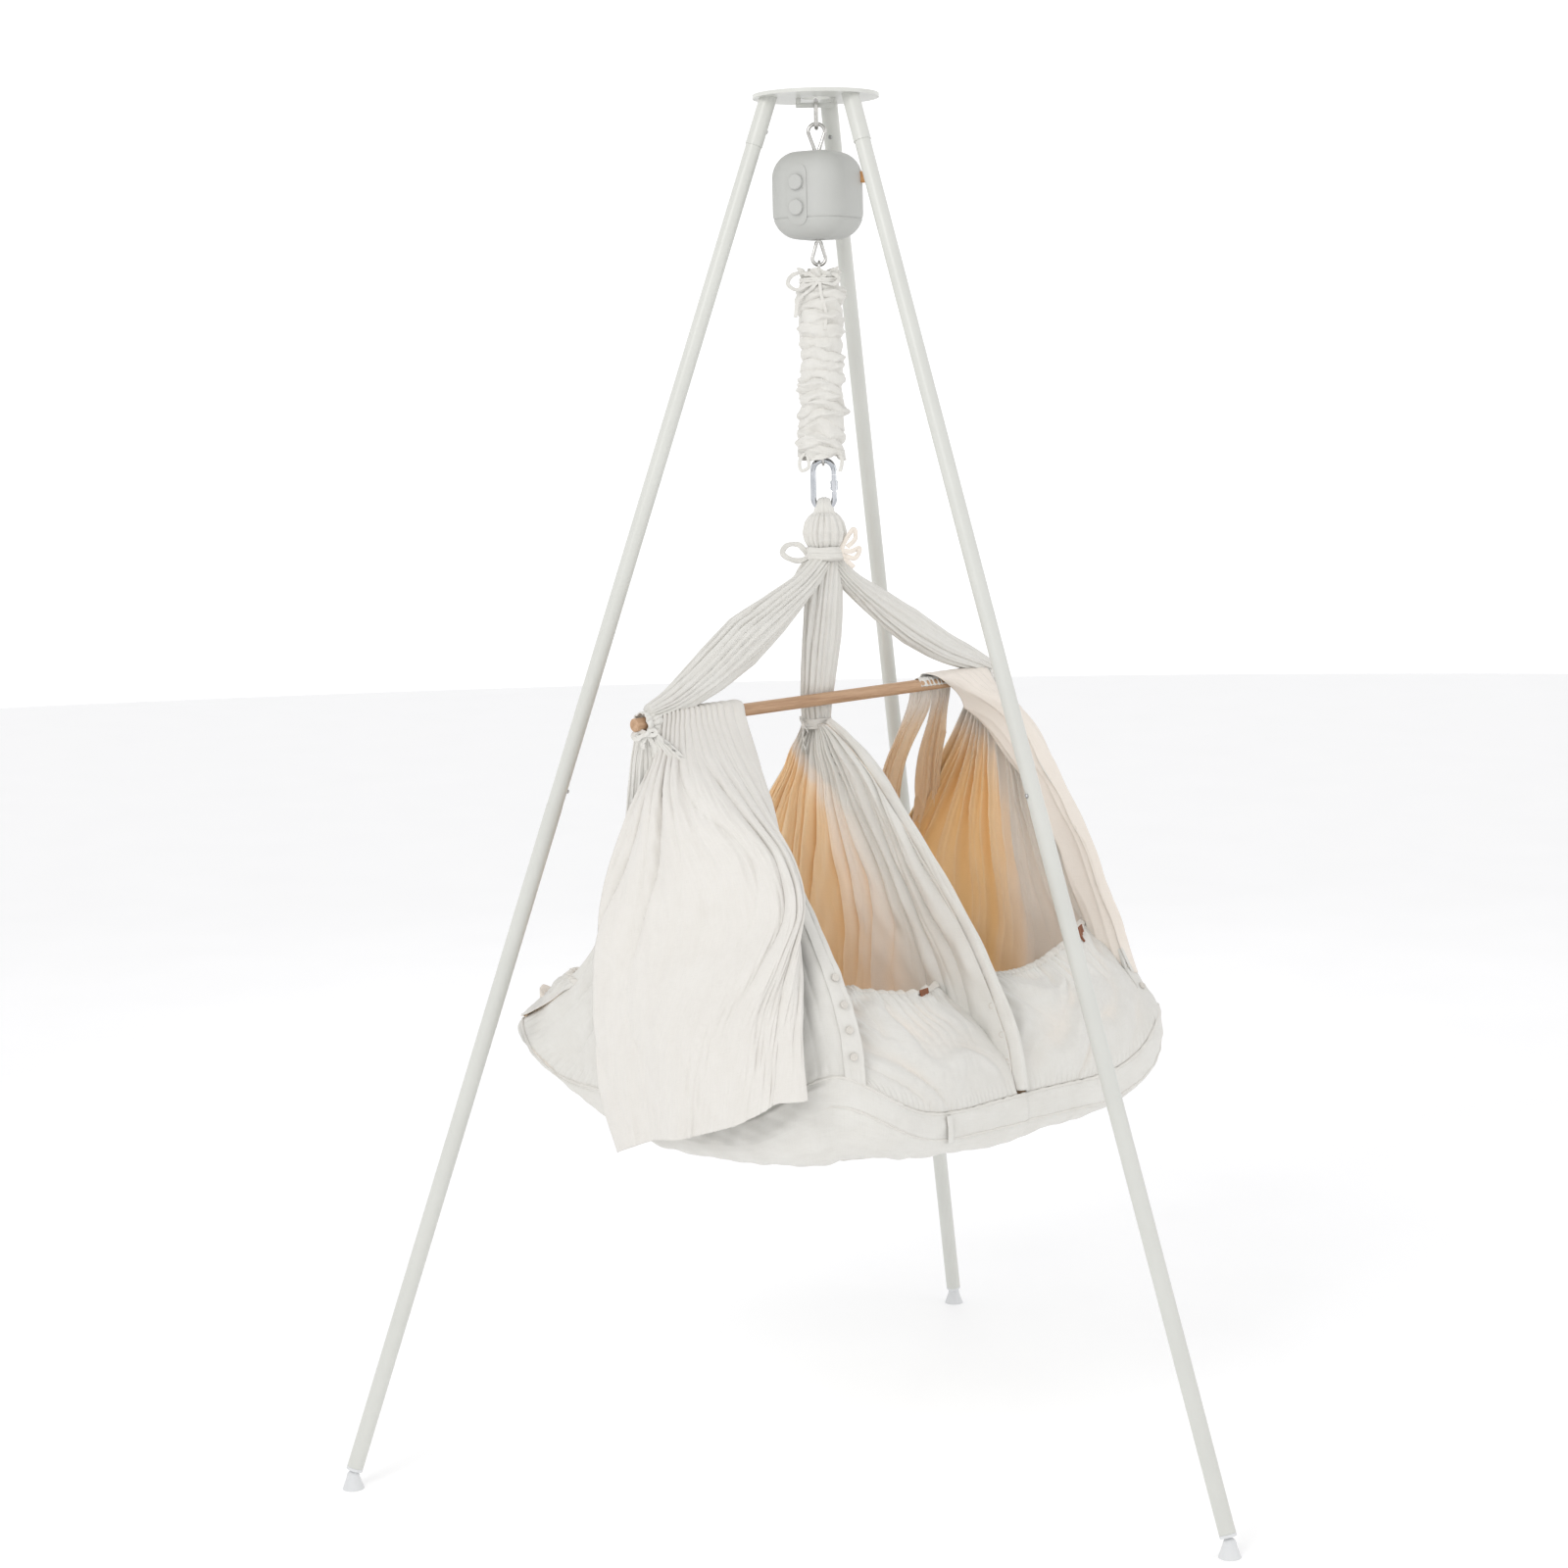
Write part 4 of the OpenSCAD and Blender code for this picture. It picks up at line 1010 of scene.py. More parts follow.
def make_divider():
    nu, nv = 260, 360
    f, b = curve(FRONT_EDGE, 300), curve(BACK_EDGE, 300)
    z = np.linspace(1.033, 0.556, nu)
    yf, yb = np.interp(-z, -f[:, 2], f[:, 1]), np.interp(-z, -b[:, 2], b[:, 1])
    u = np.linspace(0, 1, nu)[:, None]
    v = np.linspace(0.012, 0.985, nv)[None, :]
    Y = yf[:, None] * (1 - v) + yb[:, None] * v
    Z = np.broadcast_to(z[:, None], Y.shape)
    build = Build()
    puff = 0.0045 + 0.0065 * np.sin(PI * np.clip(v, 0, 1))**0.6 * smooth(u / 0.1) * (1 - 0.5 * u)
    for side, seed in ((-1, 141), (1, 143)):
        q = paired(v * 2.2, u * 1.1)
        drift = 0.5 * noise(q, seed, 0.7)
        d = (0.0030 * np.exp(-(u / 0.3)**2) * pleat(26 * v + 1.6 * drift)
             + 0.0062 * smooth(u / 0.08) * (1 - smooth((u - 0.45) / 0.55)) * pleat(14 * v + drift)
             + 0.0042 * smooth(u / 0.25) * (1 - 0.6 * u) * pleat(7 * v + 0.7 * drift + 0.3)
             + 0.0015 * noise(q, seed + 5, 0.16))
        d = d * smooth(v / 0.05) * smooth((1 - v) / 0.04)
        X = side * (puff + d + 0.0045)
        P = np.stack([X, Y, Z], -1)
        # Amber towards the back and lower down, partly the lining's own colour and partly painted light
        # inside the cradle; the d term adds painted shade in the fold valleys.
        line = np.interp(u, [0, 0.05, 0.1, 0.18, 0.26, 0.46, 1], [1.0, 0.85, 0.62, 0.36, 0.26, 0.20, 0.18])
        warm = 0.36 * smooth((v - line + 0.02) / 0.14) + 0.46 * smooth((v - line - 0.14) / 0.20)
        warm = np.clip(warm - 20 * np.clip(d, -0.008, 0.004) * smooth(warm * 2), 0, 1)
        if side < 0:
            build.sheet(P[:, ::-1], DIVIDER_THICK, warm[:, ::-1], 0.4)
        else:
            build.sheet(P, DIVIDER_THICK, warm * 0.8, 0.4)
    build.make("divider_cloth", hides=("divider",))
    edges = Build()
    for pts, low, seed in ((FRONT_EDGE, 0.0155, 151), (BACK_EDGE, 0.010, 155)):
        path = curve(pts, 200)
        t = np.linspace(0, 1, 200)
        path[:, 1] += np.interp(t, [0, 0.2, 1], [0, 0.4, 0.75]) * low * (1 if pts is FRONT_EDGE else -1)
        high = np.interp(t, [0, 0.06, 0.3, 1], [0.006, 0.0085, 0.011, low * 1.15])
        wide = np.interp(t, [0, 0.06, 0.4, 1], [0.0055, 0.0065, 0.0075, 0.0085])
        def swell(s, a, seed=seed):
            q = paired(np.cos(a) * 0.5, np.sin(a) * 0.5, s * 3)
            return 1 + 0.10 * noise(q, seed, 0.55) + 0.07 * pleat(5 * a / (2 * PI)
                    + 0.6 * noise(q, seed + 1, 1.0)) * (1 - 0.5 * s)
        edges.tube(swept(path, (1, 0, 0), high, wide, 90, swell))
    edges.make("divider_hem")


# ---------------------------------------------------------------- cradle: pouches

def coons(top, low, left, right):
    """A patch between four curves; top and low run left to right, left and right run top to low."""
    nu, nv = len(left), len(top)
    u, v = np.linspace(0, 1, nu)[:, None, None], np.linspace(0, 1, nv)[None, :, None]
    return ((1 - u) * top[None] + u * low[None] + (1 - v) * left[:, None] + v * right[:, None]
            - (1 - u) * (1 - v) * top[0] - (1 - u) * v * top[-1] - u * (1 - v) * low[0] - u * v * low[-1])


def make_pouches():
    build, elastic = Build(), Build()
    elastics = {
        -1: mm([(-336, -172, 727), (-300, -222, 730), (-250, -256, 722), (-190, -268, 708),
                (-130, -262, 696), (-70, -240, 688), (-10, -215, 687)]),
        1: mm([(9, -215, 687), (55, -240, 693), (100, -253, 694), (140, -256, 698), (180, -252, 708),
               (220, -243, 718), (260, -226, 726), (300, -200, 730), (336, -172, 724)]),
    }
    wall_seam = mm([(336, -172, 724), (336, -188, 708), (336, -216, 683), (336, -250, 657),
                    (334, -282, 634), (322, -311, 618)])
    mid_seam = mm([(9, -215, 687), (9, -256, 661), (9, -301, 629), (9, -334, 600), (9, -350, 560)])
    nu, nv = 150, 300
    for side in (-1, 1):
        for front in (1, -1):
            seed = 160 + 7 * side + 3 * front
            top = curve(elastics[side], nv)
            if front < 0:
                top = top * np.array([1, 0.96, 1]) - np.array([0, 0, 0.034])
            if side < 0:
                low = rim_span(ROUND_TRIP - 0.330, ROUND_TRIP - 0.017, nv, 0.001, 0.002)[:, :3]
                left = curve([(-x, y, z) for x, y, z in wall_seam], nu)
                right = curve([(-x, y, z) for x, y, z in mid_seam], nu)
            else:
                low = rim_span(0.001, 0.330, nv, 0.001, 0.002)[:, :3]
                left, right = curve(mid_seam, nu), curve(wall_seam, nu)
            left += (top[0] - left[0]) * np.linspace(1, 0, nu)[:,
                    None] + (low[0] - left[-1]) * np.linspace(0, 1, nu)[:, None]
            right += (top[-1] - right[0]) * np.linspace(1, 0, nu)[:,
                    None] + (low[-1] - right[-1]) * np.linspace(0, 1, nu)[:, None]
            P = coons(top, low, left, right)
            u, v = shares(nu, nv)
            n = unit(np.cross(np.gradient(P, axis=0), np.gradient(P, axis=1)))
            n *= -np.sign(n[nu // 2, nv // 2, 1])
            q = paired(v * 1.9, u)
            drift = noise(q, seed, 0.8)
            frame_off = np.sin(PI * v) ** 0.7 * np.sin(PI * np.clip(u, 0, 1)) ** 0.6
            near = 1 - v if side < 0 else v
            slant = 3.1 * (0.95 * near + 0.60 * u) + 0.45 * drift
            d = (0.021 * frame_off
                 + 0.0015 * np.exp(-(u / 0.16)**1.5) * pleat(52 * v + 0.5 * drift)
                 + 0.0030 * np.exp(-((u - 0.12) / 0.26)**2) * np.sin(2 * PI * (12 * v + 0.9 * drift))
                 + 0.0072 * frame_off * (0.6 * np.sin(2 * PI * slant) + 0.4 * pleat(slant + 0.25))
                 * np.exp(-(near / 0.8)**2)
                 + 0.0024 * frame_off * np.sin(2 * PI * (2.3 * slant + 0.3))
                 * np.exp(-((near - 0.15) / 0.35)**2)
                 + 0.0009 * smooth((u - 0.86) / 0.12) * (1 - smooth((u - 0.985) / 0.015))
                 * pleat(34 * v + 0.7 * drift)
                 + 0.0022 * frame_off * noise(q, seed + 2, 0.34)
                 + 0.0005 * noise(q, seed + 4, 0.09) * frame_off)
            P = P + n * d[..., None]
            grid = P * np.array([1, front, 1])
            facing = np.cross(grid[80, 150] - grid[70, 150], grid[75, 155] - grid[75, 145])[1] * front
            # Painted shade: a warm tint in the fold valleys of the outside, over a faint base; the inner
            # side gets the amber of the inner sides, partly the lining's colour and partly painted light.
            valley_shade = np.clip(0.05 - 26 * np.clip(d - 0.021 * frame_off, -0.008, 0.002), 0, 0.24)
            way = 1 if facing < 0 else -1
            build.sheet(grid[:, ::way], WALL_THICK, valley_shade[:, ::way], 0.55)
            band_n = n[0]
            tilt = unit(P[8] - P[0])
            rows = np.linspace(-0.006, 0.006, 9)
            ruche = 0.0017 * pleat(52 * v[0] + 0.5 * drift[0])
            shape = 0.0034 * np.sqrt(np.clip(1 - (rows / 0.0068)**2, 0, 1))
            front_side = P[0][None] + tilt[None] * rows[:, None,
                    None] + band_n[None] * (shape[:, None, None] + ruche[None, :, None])
            back_side = P[0][None] + tilt[None] * rows[::-1, None,
                    None] - band_n[None] * (shape[::-1, None, None] - 0.6 * ruche[None, :, None])
            ring = np.concatenate([front_side, back_side]).transpose(1, 0, 2)
            if front < 0:
                ring = (ring * np.array([1, -1, 1]))[:, ::-1]
            elastic.tube(ring, 0.12)
    build.make("pouch_panels", hides=("pouches",))
    elastic.make("pouch_elastics")


# ---------------------------------------------------------------- cradle: drapes

def through(a, m, b, v, at):
    """A sheet whose cross-sections bend from a through m, met at the share `at`, to b."""
    pull = (m - (1 - at)**2 * a - at**2 * b) / (2 * at * (1 - at))
    t = v[..., None]
    return (1 - t)**2 * a[:, None] + 2 * t * (1 - t) * pull[:, None] + t**2 * b[:, None]


def make_left_drape():
    nu, nv = 300, 300
    middle = curve(mm([(-256, 13, 1062), (-256, 7, 1076), (-256, -6, 1077), (-270, -28, 1052),
                       (-300, -72, 1010), (-326, -145, 953), (-330, -215, 890), (-347, -250, 825),
                       (-380, -250, 765), (-395, -225, 700), (-410, -205, 560)]), nu)
    edge = curve(mm([(-178, 12, 1066), (-176, 6, 1078.5), (-174, -8, 1077.5), (-180, -24, 1058),
                     (-222, -112, 953), (-272, -176, 890), (-322, -250, 834), (-338, -278, 785),
                     (-345, -292, 735), (-362, -310, 680), (-390, -339, 606)]), nu)
    away = curve(mm([(-318, 14, 1056), (-320, 8, 1073), (-322, -4, 1075), (-330, -12, 1045),
                     (-366, 12, 930), (-388, 52, 800), (-394, 60, 680), (-393, 45, 560), (-388, 24, 482)]),
                 nu)
    u, v = shares(nu, nv)
    P = through(edge, middle, away, v, 0.45)
    lean = 0.35 + 1.15 * (1 - v)
    out = np.stack([-np.cos(lean), -np.sin(lean), 0 * lean], -1)
    hang = smooth((u - 0.07) / 0.2)
    bulge = np.interp(u, [0, 0.07, 0.24, 0.36, 0.58, 0.8, 1],
                      [0, 0, 0.026, 0.030, 0.022, 0.012, 0.006]) * np.sin(PI * v)**0.75
    q = paired(v * 1.5, u * 1.0)
    drift = noise(q, 171, 0.75)
    lift = smooth(u / 0.06)
    tight = (0.4 + 0.6 * np.exp(-((v - 0.92) / 0.3)**2))
    d = (0.0038 * (0.35 + 0.65 * lift) * np.exp(-(u / 0.42)**2) * pleat(15 * v + 0.7 * drift) * tight
         + 0.0075 * hang * np.exp(-((u - 0.38) / 0.42)**2) * pleat(7 * v**0.85 + 0.55 * drift + 0.4 * u)
         * (0.45 + 0.55 * tight)
         + 0.0065 * smooth((u - 0.4) / 0.6) * np.sin(2 * PI * (3.2 * v + 0.35 * drift + 0.1))
         + 0.0030 * hang * noise(q * np.array([2.4, 0.8]), 173, 0.5)
         + 0.0012 * hang * noise(q * np.array([3, 1.2]), 174, 0.16))
    turned = smooth((0.10 - v) / 0.1) * smooth((u - 0.86) / 0.14)
    d += 0.010 * turned
    P = P + (bulge + d)[..., None] * out
    wrap = 1 - smooth((u - 0.05) / 0.04)
    P[..., 2] += wrap * np.clip(d, 0, 1) * 0.8
    P[..., 2] += 0.006 * smooth((u - 0.8) / 0.2) * np.sin(2 * PI * (1.3 * v + 0.1))
    # Painted shade: a warm tint in the fold valleys of the outside; the inner side gets a faint amber.
    valley_shade = np.clip(-0.02 - 24 * np.clip(d, -0.009, 0), 0, 0.2)
    obj = Build().sheet(P, DRAPE_THICK, valley_shade, 0.12).make("left_drape_cloth", slot="drape_fabric",
            hides=("left_drape",))
    return obj


def make_right_drape():
    build = Build()
    nu, nv = 240, 150
    inner = curve(mm([(196, 12, 1071), (195, 6, 1089), (198, -9.5, 1089), (240, -14, 1064),
                      (284, -22, 1016), (297, -64, 958), (303, -108, 909), (304, -150, 860),
                      (304, -178, 798), (304, -194, 730), (306, -205, 665)]), nu)
    front = curve(mm([(255, 12, 1072.5), (255, 6, 1090.5), (257, -10.5, 1090.5), (278, -34, 1062),
                      (302, -80, 1020), (310, -120, 960), (312, -152, 915), (311, -190, 860),
                      (310, -226, 790), (308, -258, 725), (308, -284, 665)]), nu)
    away = curve(mm([(312, 12, 1074), (313, 6, 1092), (315, -9.5, 1092), (334, -18, 1060), (366, -20, 1000),
                     (378, -30, 935), (384, -60, 860), (387, -90, 780), (389, -115, 700),
                     (390, -130, 640)]), nu)
    u, v = shares(nu, nv)
    P = through(inner, front, away, v, 0.42)
    out = unit(np.array([0.72, -0.6, 0.25]))
    hang = smooth((u - 0.08) / 0.15)
    q = paired(v, u * 1.4)
    drift = noise(q, 181, 0.7)
    bulge = 0.010 * hang * np.sin(PI * v)
    d = 0.0028 * pleat(6 * v + 0.5 * drift) * (0.5 + 0.5 * hang) + 0.0035 * hang * pleat(3 * v
            + 0.6 * drift) + 0.002 * hang * noise(q, 183, 0.2)
    P = P + (bulge + d)[..., None] * out
    # Painted shade: a warm tint in the fold valleys; the inner side gets a faint amber.
    valley_shade = np.clip(0.01 - 30 * np.clip(d, -0.006, 0), 0, 0.18)
    build.sheet(P[:, ::-1], DRAPE_THICK, valley_shade[:, ::-1], 0.25)
    front_obj = build.make("right_drape_cloth", slot="drape_fabric", hides=("right_drape",))
    tail = Build()
    strips = (
        (mm([(180, -10, 1072.5), (180, -2, 1084.5), (182, 9, 1079), (186, 22, 1050), (208, 100, 938),
             (255, 170, 835), (320, 235, 745), (364, 276, 668)]),
         mm([(226, -10, 1073.5), (226, -2, 1085.5), (228, 9, 1080), (232, 21, 1051), (248, 92, 945),
             (290, 152, 850), (340, 214, 752), (370, 250, 666)]), 185),
        (mm([(222, -10, 1073.5), (222, -2, 1086.5), (226, 10, 1081), (236, 23, 1052), (272, 90, 948),
             (315, 142, 860), (356, 195, 756), (374, 232, 662)]),
         mm([(262, -10, 1074.5), (263, -2, 1087.5), (266, 10, 1082), (272, 22, 1053), (318, 82, 952),
             (356, 130, 865), (372, 170, 760), (376, 200, 660)]), 187),
    )
    out = unit(np.array([0.5, 0.8, 0.2]))
    q = paired(v, u * 1.4)
    for first, last, seed in strips:
        a, b = curve(first, nu), curve(last, nu)
        P = a[:, None] * (1 - v[..., None]) + b[:, None] * v[..., None]
        drift = noise(q, seed, 0.7)
        d = (0.0016 * pleat(5 * v + 0.5 * drift) + 0.0040 * hang * pleat(1.5 * v + 0.4 * drift + 0.5)
             + 0.010 * hang * np.sin(PI * v) * (1 - 0.5 * u))
        P = P + d[..., None] * out
        # The tail grows more amber over its upper third, as on the inner sides: partly the lining's colour
        # and partly painted light.
        tail.sheet(P, DRAPE_THICK, 0.12 + 0.45 * smooth(u / 0.3) + 0 * v, 0.1)
    back_obj = tail.make("right_drape_tail", slot="drape_fabric")
    return front_obj, back_obj


# ---------------------------------------------------------------- cradle: mattresses

def settle(co):
    """Lift and draw in the pad's points so they lie inside the base cloth."""
    s = np.linspace(0, ROUND_TRIP, 720, endpoint=False)
    x, y, nx, ny, _ = rim(s)
    x, y = x - SKIN_INSET * nx - BASE_AT[0], y - SKIN_INSET * ny - BASE_AT[1]
    turn = np.arctan2(y, x)
    order = np.argsort(turn)
    at = np.arctan2(co[:, 1] - BASE_AT[1], co[:, 0] - BASE_AT[0])
    edge = np.interp(at, turn[order], np.hypot(x, y)[order], period=2 * PI)
    lift = np.interp(at, turn[order], corner_lift(s)[order], period=2 * PI)
    r = np.hypot(co[:, 0] - BASE_AT[0], co[:, 1] - BASE_AT[1])
    keep = np.minimum(1, (edge - 0.004) / np.maximum(r, 1e-6))
    out = co.copy()
    out[:, :2] = BASE_AT + (co[:, :2] - BASE_AT) * keep[:, None]
    part = np.minimum(1, r * keep / edge)
    out[:, 2] += lift * part**2 + 0.003 + 0.010 * smooth((part - 0.9) / 0.1)
    return out


def make_mattress(side, name):
    low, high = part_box(f"{name}_mattress")
    cx, cy, cz = ((low[k] + high[k]) / 2 for k in range(3))
    hx, hy, hz = ((high[k] - low[k]) / 2 for k in range(3))
    mesh = frame["nodes"][f"{name}_mattress"].data.copy()
    co = np.array([v.co for v in mesh.vertices]) - (cx, cy, cz)
    was = (hx, hy, hz)
    hx, hy, hz = hx - 0.007, hy - 0.007, hz - 0.005
    mesh.vertices.foreach_set("co", (co * (np.array([hx, hy, hz]) / was)).reshape(-1))
    obj = bpy.data.objects.new(f"{name}_mattress_pad", mesh)
    bpy.context.scene.collection.objects.link(obj)
    for layer in list(mesh.uv_layers):
        mesh.uv_layers.remove(layer)
    remesh = obj.modifiers.new("remesh", "REMESH")
    remesh.mode, remesh.voxel_size = "VOXEL", 0.006
    obj.data = bpy.data.meshes.new_from_object(obj.evaluated_get(bpy.context.evaluated_depsgraph_get()))
    obj.modifiers.clear()
    cloth = obj.modifiers.new("cloth", "CLOTH")
    cloth.settings.use_pressure = True
    cloth.settings.uniform_pressure_force = 4
    cloth.settings.quality = 4
    cloth.settings.mass = 0.3
    cloth.settings.effector_weights.gravity = 0
    cloth.settings.tension_stiffness = cloth.settings.compression_stiffness = 15
    cloth.settings.bending_stiffness = 0.5
    cloth.point_cache.frame_end = 20
    before = np.array([v.co for v in obj.data.vertices])
    for f in range(1, 21):
        bpy.context.scene.frame_set(f)
    mesh = bpy.data.meshes.new_from_object(obj.evaluated_get(bpy.context.evaluated_depsgraph_get()))
    after = np.array([v.co for v in mesh.vertices])
    move = after - before
    far = np.linalg.norm(move, axis=1, keepdims=True)
    after = before + move * np.minimum(1, 0.010 / np.maximum(far, 1e-9))
    after[:, 2] = np.clip(after[:, 2], -hz - 0.004, hz + 0.006)
    mesh.vertices.foreach_set("co", after.reshape(-1))
    obj.modifiers.clear()
    obj.data = mesh
    bpy.context.scene.frame_set(1)
    sub = obj.modifiers.new("sub", "SUBSURF")
    sub.levels = 1
    mesh = bpy.data.meshes.new_from_object(obj.evaluated_get(bpy.context.evaluated_depsgraph_get()))
    obj.modifiers.clear()
    co = np.array([v.co for v in mesh.vertices])
    flat = np.abs(co[:, 2]) > hz * 0.5
    tuft = sum(np.exp(-((co[:, 1] - k * hy * 0.5)**2) / 0.012**2) for k in (-1, 0, 1))
    rim_fall = np.clip((1 - np.abs(co[:, 0]) / hx) / 0.15, 0, 1)
    co[:, 2] += np.sign(co[:, 2]) * flat * (-0.0035 * tuft * rim_fall
            + 0.0012 * noise(co, 191 + side, 0.05))
    co += np.array([cx, cy, cz])
    co = settle(co)
    mesh.vertices.foreach_set("co", co.reshape(-1))
    if not mesh.uv_layers:
        mesh.uv_layers.new(name="UVMap")
    corner = np.zeros(len(mesh.loops), np.int32)
    mesh.loops.foreach_get("vertex_index", corner)
    mesh.uv_layers[0].data.foreach_set("uv", co[corner][:, :2].astype(np.float32).reshape(-1))
    # The pad gets some of the inner sides' amber, partly its own colour and partly painted light inside the
    # cradle.
    mesh.attributes.new("warm", "FLOAT", "POINT").data.foreach_set("value",
            np.full(len(co), 0.25, np.float32))
    mesh.polygons.foreach_set("use_smooth", np.ones(len(mesh.polygons), bool))
    mesh.materials.clear()
    mesh.materials.append(LOOKS["mattress_fabric"])
    obj.data = mesh
    finish_piece(obj, "cradle", (f"{name}_mattress",))
    return obj


# ---------------------------------------------------------------- studs and tags

def disc(build, centre, normal, radius, height, profile):
    """A small turned part: rings of (radius share, height share) about normal."""
    n = unit(np.asarray(normal, float))
    side = unit(np.cross(n, (0.1, 0.2, 1.0)))
    top = np.cross(n, side)
    a = angles(28)
    rings = [np.asarray(centre) + n * h * height + radius * r
             * (np.cos(a)[:, None] * side + np.sin(a)[:, None] * top) for r, h in profile]
    build.tube(np.array(rings))


STUD_SHAPE = [(0.9, -0.3), (1.0, 0.0), (1.0, 0.35), (0.93, 0.75), (0.8, 0.95), (0.62, 0.98), (0.55, 0.8),
              (0.45, 0.62), (0.2, 0.55)]


def make_studs(hems):
    build = Build()
    for strip, flow in hems:
        for z in (0.746, 0.713, 0.682, 0.648):
            col = strip.shape[1] // 2
            k = int(np.argmin(np.abs(strip[:, col, 2] - z)))
            disc(build, strip[k, col] + flow[k, col] * 0.0045, flow[k, col], 0.0052, 0.0022, STUD_SHAPE)
    f = curve(FRONT_EDGE, 300)
    for z in (0.707, 0.670, 0.633, 0.597):
        k = int(np.argmin(np.abs(f[:, 2] - z)))
        for side in (-1, 1):
            disc(build, (side * 0.0095, f[k, 1] + 0.013, z), (side, -0.35, 0.1), 0.0052, 0.0022, STUD_SHAPE)
    build.make("press_studs", look=STUD)


def make_tag(name, centre, right, down, width, height):
    """A folded leather tag, drawn as one thick sheet bowed out a little, with two lines of stitches."""
    c, r, d = (np.asarray(k, float) for k in (centre, right, down))
    r, d = unit(r), unit(d)
    n = unit(np.cross(r, d))
    rows, cols = 26, 14
    t = np.linspace(0, 1, rows)
    v = np.linspace(-0.5, 0.5, cols)
    build = Build()
    bow_out = 0.0022 * np.sin(PI * t * 0.9)
    P = (c + (t * height)[:, None, None] * d + (v * width)[None, :, None] * r
         + (bow_out[:, None] + 0.0006 * np.cos(2 * PI * v)[None])[..., None] * n)
    build.sheet(P, 0.0019)
    obj = build.make(name, look=LEATHER)
    thread = Build()
    for k in (-0.36, 0.36):
        for j in np.linspace(0.1, 0.86, 9):
            a = c + d * height * j + r * width * k + n * (0.0022 * math.sin(PI * j * 0.9) + 0.0013)
            path = curve([a, a + 0.0005 * n + d * height * 0.022, a + d * height * 0.045], 8)
            thread.tube(swept(path, n, 0.00028, 0.00028, 8))
    thread.make(name + "_stitches", look=LOOKS["sleeve_fabric"])
    return obj


make_base()
HEMS = list(make_walls())
make_divider()
make_pouches()
LEFT_DRAPE = make_left_drape()
RIGHT_DRAPE, RIGHT_TAIL = make_right_drape()
for side, name in ((-1, "left"), (1, "right")):
    make_mattress(side, name)
make_studs(HEMS)
make_tag("left_tag", (-0.083, -0.2555, 0.6965), (0.93, 0.35, -0.05), (0.05, -0.50, -0.86), 0.026, 0.021)
make_tag("right_tag", (0.262, -0.233, 0.735), (0.86, 0.5, 0.08), (0.1, -0.50, -0.86), 0.026, 0.021)


# ---------------------------------------------------------------- motor

def rounded_square(half, radius, n=160):
    """A square outline with round corners, starting at the middle of the +X side."""
    a = angles(n)
    side = half - radius
    corner = (np.floor(a / (PI / 2)) + 0.5) * PI / 2
    share = (a % (PI / 2)) / (PI / 2)
    arc = radius * PI / 2
    total = 2 * side + arc
    at = share * total
    on_first, on_last = at < side, at > side + arc
    turn = np.clip((at - side) / arc, 0, 1) * PI / 2 + corner - PI / 4
    cx, cy = side * np.sqrt(2) * np.cos(corner), side * np.sqrt(2) * np.sin(corner)
    x, y = cx + radius * np.cos(turn), cy + radius * np.sin(turn)
    first, last = corner - PI / 4, corner + PI / 4
    slide = np.where(on_first, at - side, 0)
    x, y = x - np.sin(first) * slide, y + np.cos(first) * slide
    slide = np.where(on_last, at - side - arc, 0)
    return np.stack([x - np.sin(last) * slide, y + np.cos(last) * slide], 1)


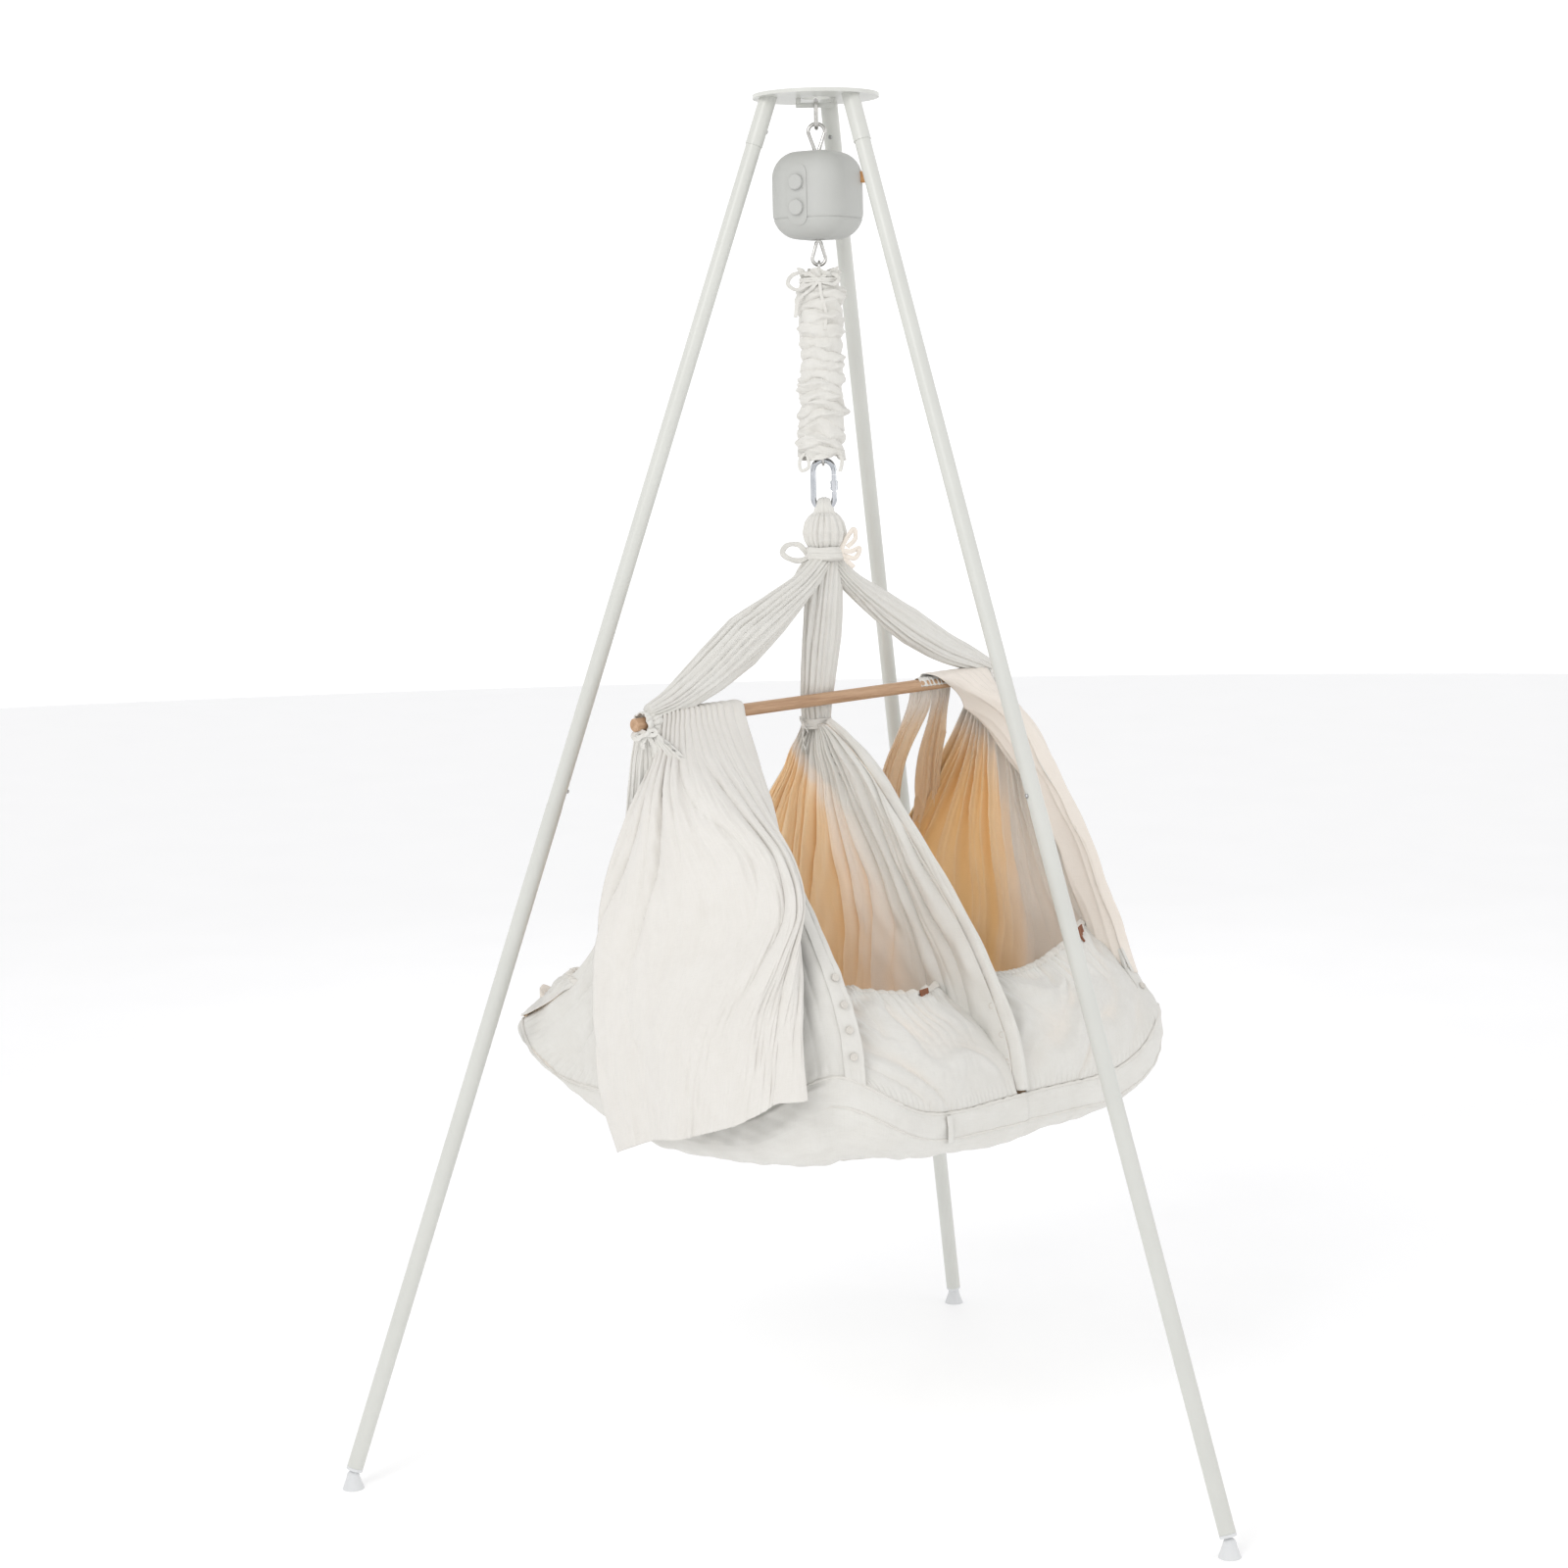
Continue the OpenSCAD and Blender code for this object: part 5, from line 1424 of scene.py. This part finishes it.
def make_motor():
    low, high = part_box("motor_base")[0].z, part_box("motor_shell")[1].z
    half, radius, parting, hole = 0.0555, 0.037, 1.731, 0.0085
    a = np.linspace(0, PI / 2, 26)
    top = [(radius * (1 - math.sin(t)), high - radius * (1 - math.cos(t))) for t in a]
    low_part = [(radius * (1 - math.cos(t)), low + radius * (1 - math.sin(t))) for t in a]
    groove = [(0.0, parting + 0.0012), (0.0002, parting + 0.0008), (0.0010, parting + 0.0005),
              (0.0010, parting - 0.0005), (0.0002, parting - 0.0008), (0.0, parting - 0.0012)]
    inner_top = [(k, high) for k in np.linspace(0.0465, radius + 0.0004, 8)]
    inner_low = [(k, low) for k in np.linspace(radius + 0.0004, 0.0465, 8)]
    straight = list(zip(np.zeros(6), np.linspace(high - radius - 0.002, parting + 0.003, 6)))
    low_z = low + radius
    profile = [p for p in inner_top + top + straight if p[1] > parting + 0.002]
    rest = [p for p in low_part if p[1] < parting - 0.002] + inner_low
    inset_at = float(np.interp(parting, [p[1] for p in low_part[::-1]],
            [p[0] for p in low_part[::-1]])) if parting < low_z else 0.0
    groove = [(p + inset_at, z) for p, z in groove]
    if parting < low_z:
        profile = [p for p in profile if p[1] > low_z]
        profile += [p for p in low_part if p[1] > parting + 0.002]
    rings = []
    for inset, z in profile + groove + rest:
        h = half - inset
        r = max(radius - inset, 0.0)
        ring = rounded_square(h, min(h, max(r, 0.35 * h)))
        rings.append(np.c_[ring, np.full(len(ring), z)])
    circle = rounded_square(hole, hole)
    for z in (high - 0.0005, high - 0.005):
        rings.insert(0, np.c_[circle, np.full(len(circle), z)])
    for z in (low + 0.0005, low + 0.005):
        rings.append(np.c_[circle, np.full(len(circle), z)])
    P = turned(np.array(rings), 195)
    Build().tube(P).make("motor_case", "motor", "motor_plastic", ("motor_shell", "motor_base"))
    flap = Build()
    t = np.linspace(0, 1, 40)
    reach = 0.0105 * np.sin(PI * t)**0.55
    x = -0.026 + 0.0045 * (t - 0.5)
    flap_z = 1.7868
    wide = np.linspace(-0.5, 0.5, 12)
    y = 0.0535 + reach
    P = np.stack([np.broadcast_to(x[:, None], (40, 12)), np.broadcast_to(y[:, None], (40, 12)),
                  np.broadcast_to(flap_z + 0.0155 * wide, (40, 12))], -1)
    flap.sheet(turned(P, 195), 0.0018)
    flap.make("motor_leather_tab", "motor", "motor_plastic", look=TAN)


make_motor()


# ---------------------------------------------------------------- finish

def dress_nodes():
    slots = {row["node"]: row["material_slot"] for row in frame["record"]["subparts"]}
    for name, obj in frame["nodes"].items():
        obj.data.materials.clear()
        obj.data.materials.append(LOOKS[slots[name]])


dress_nodes()
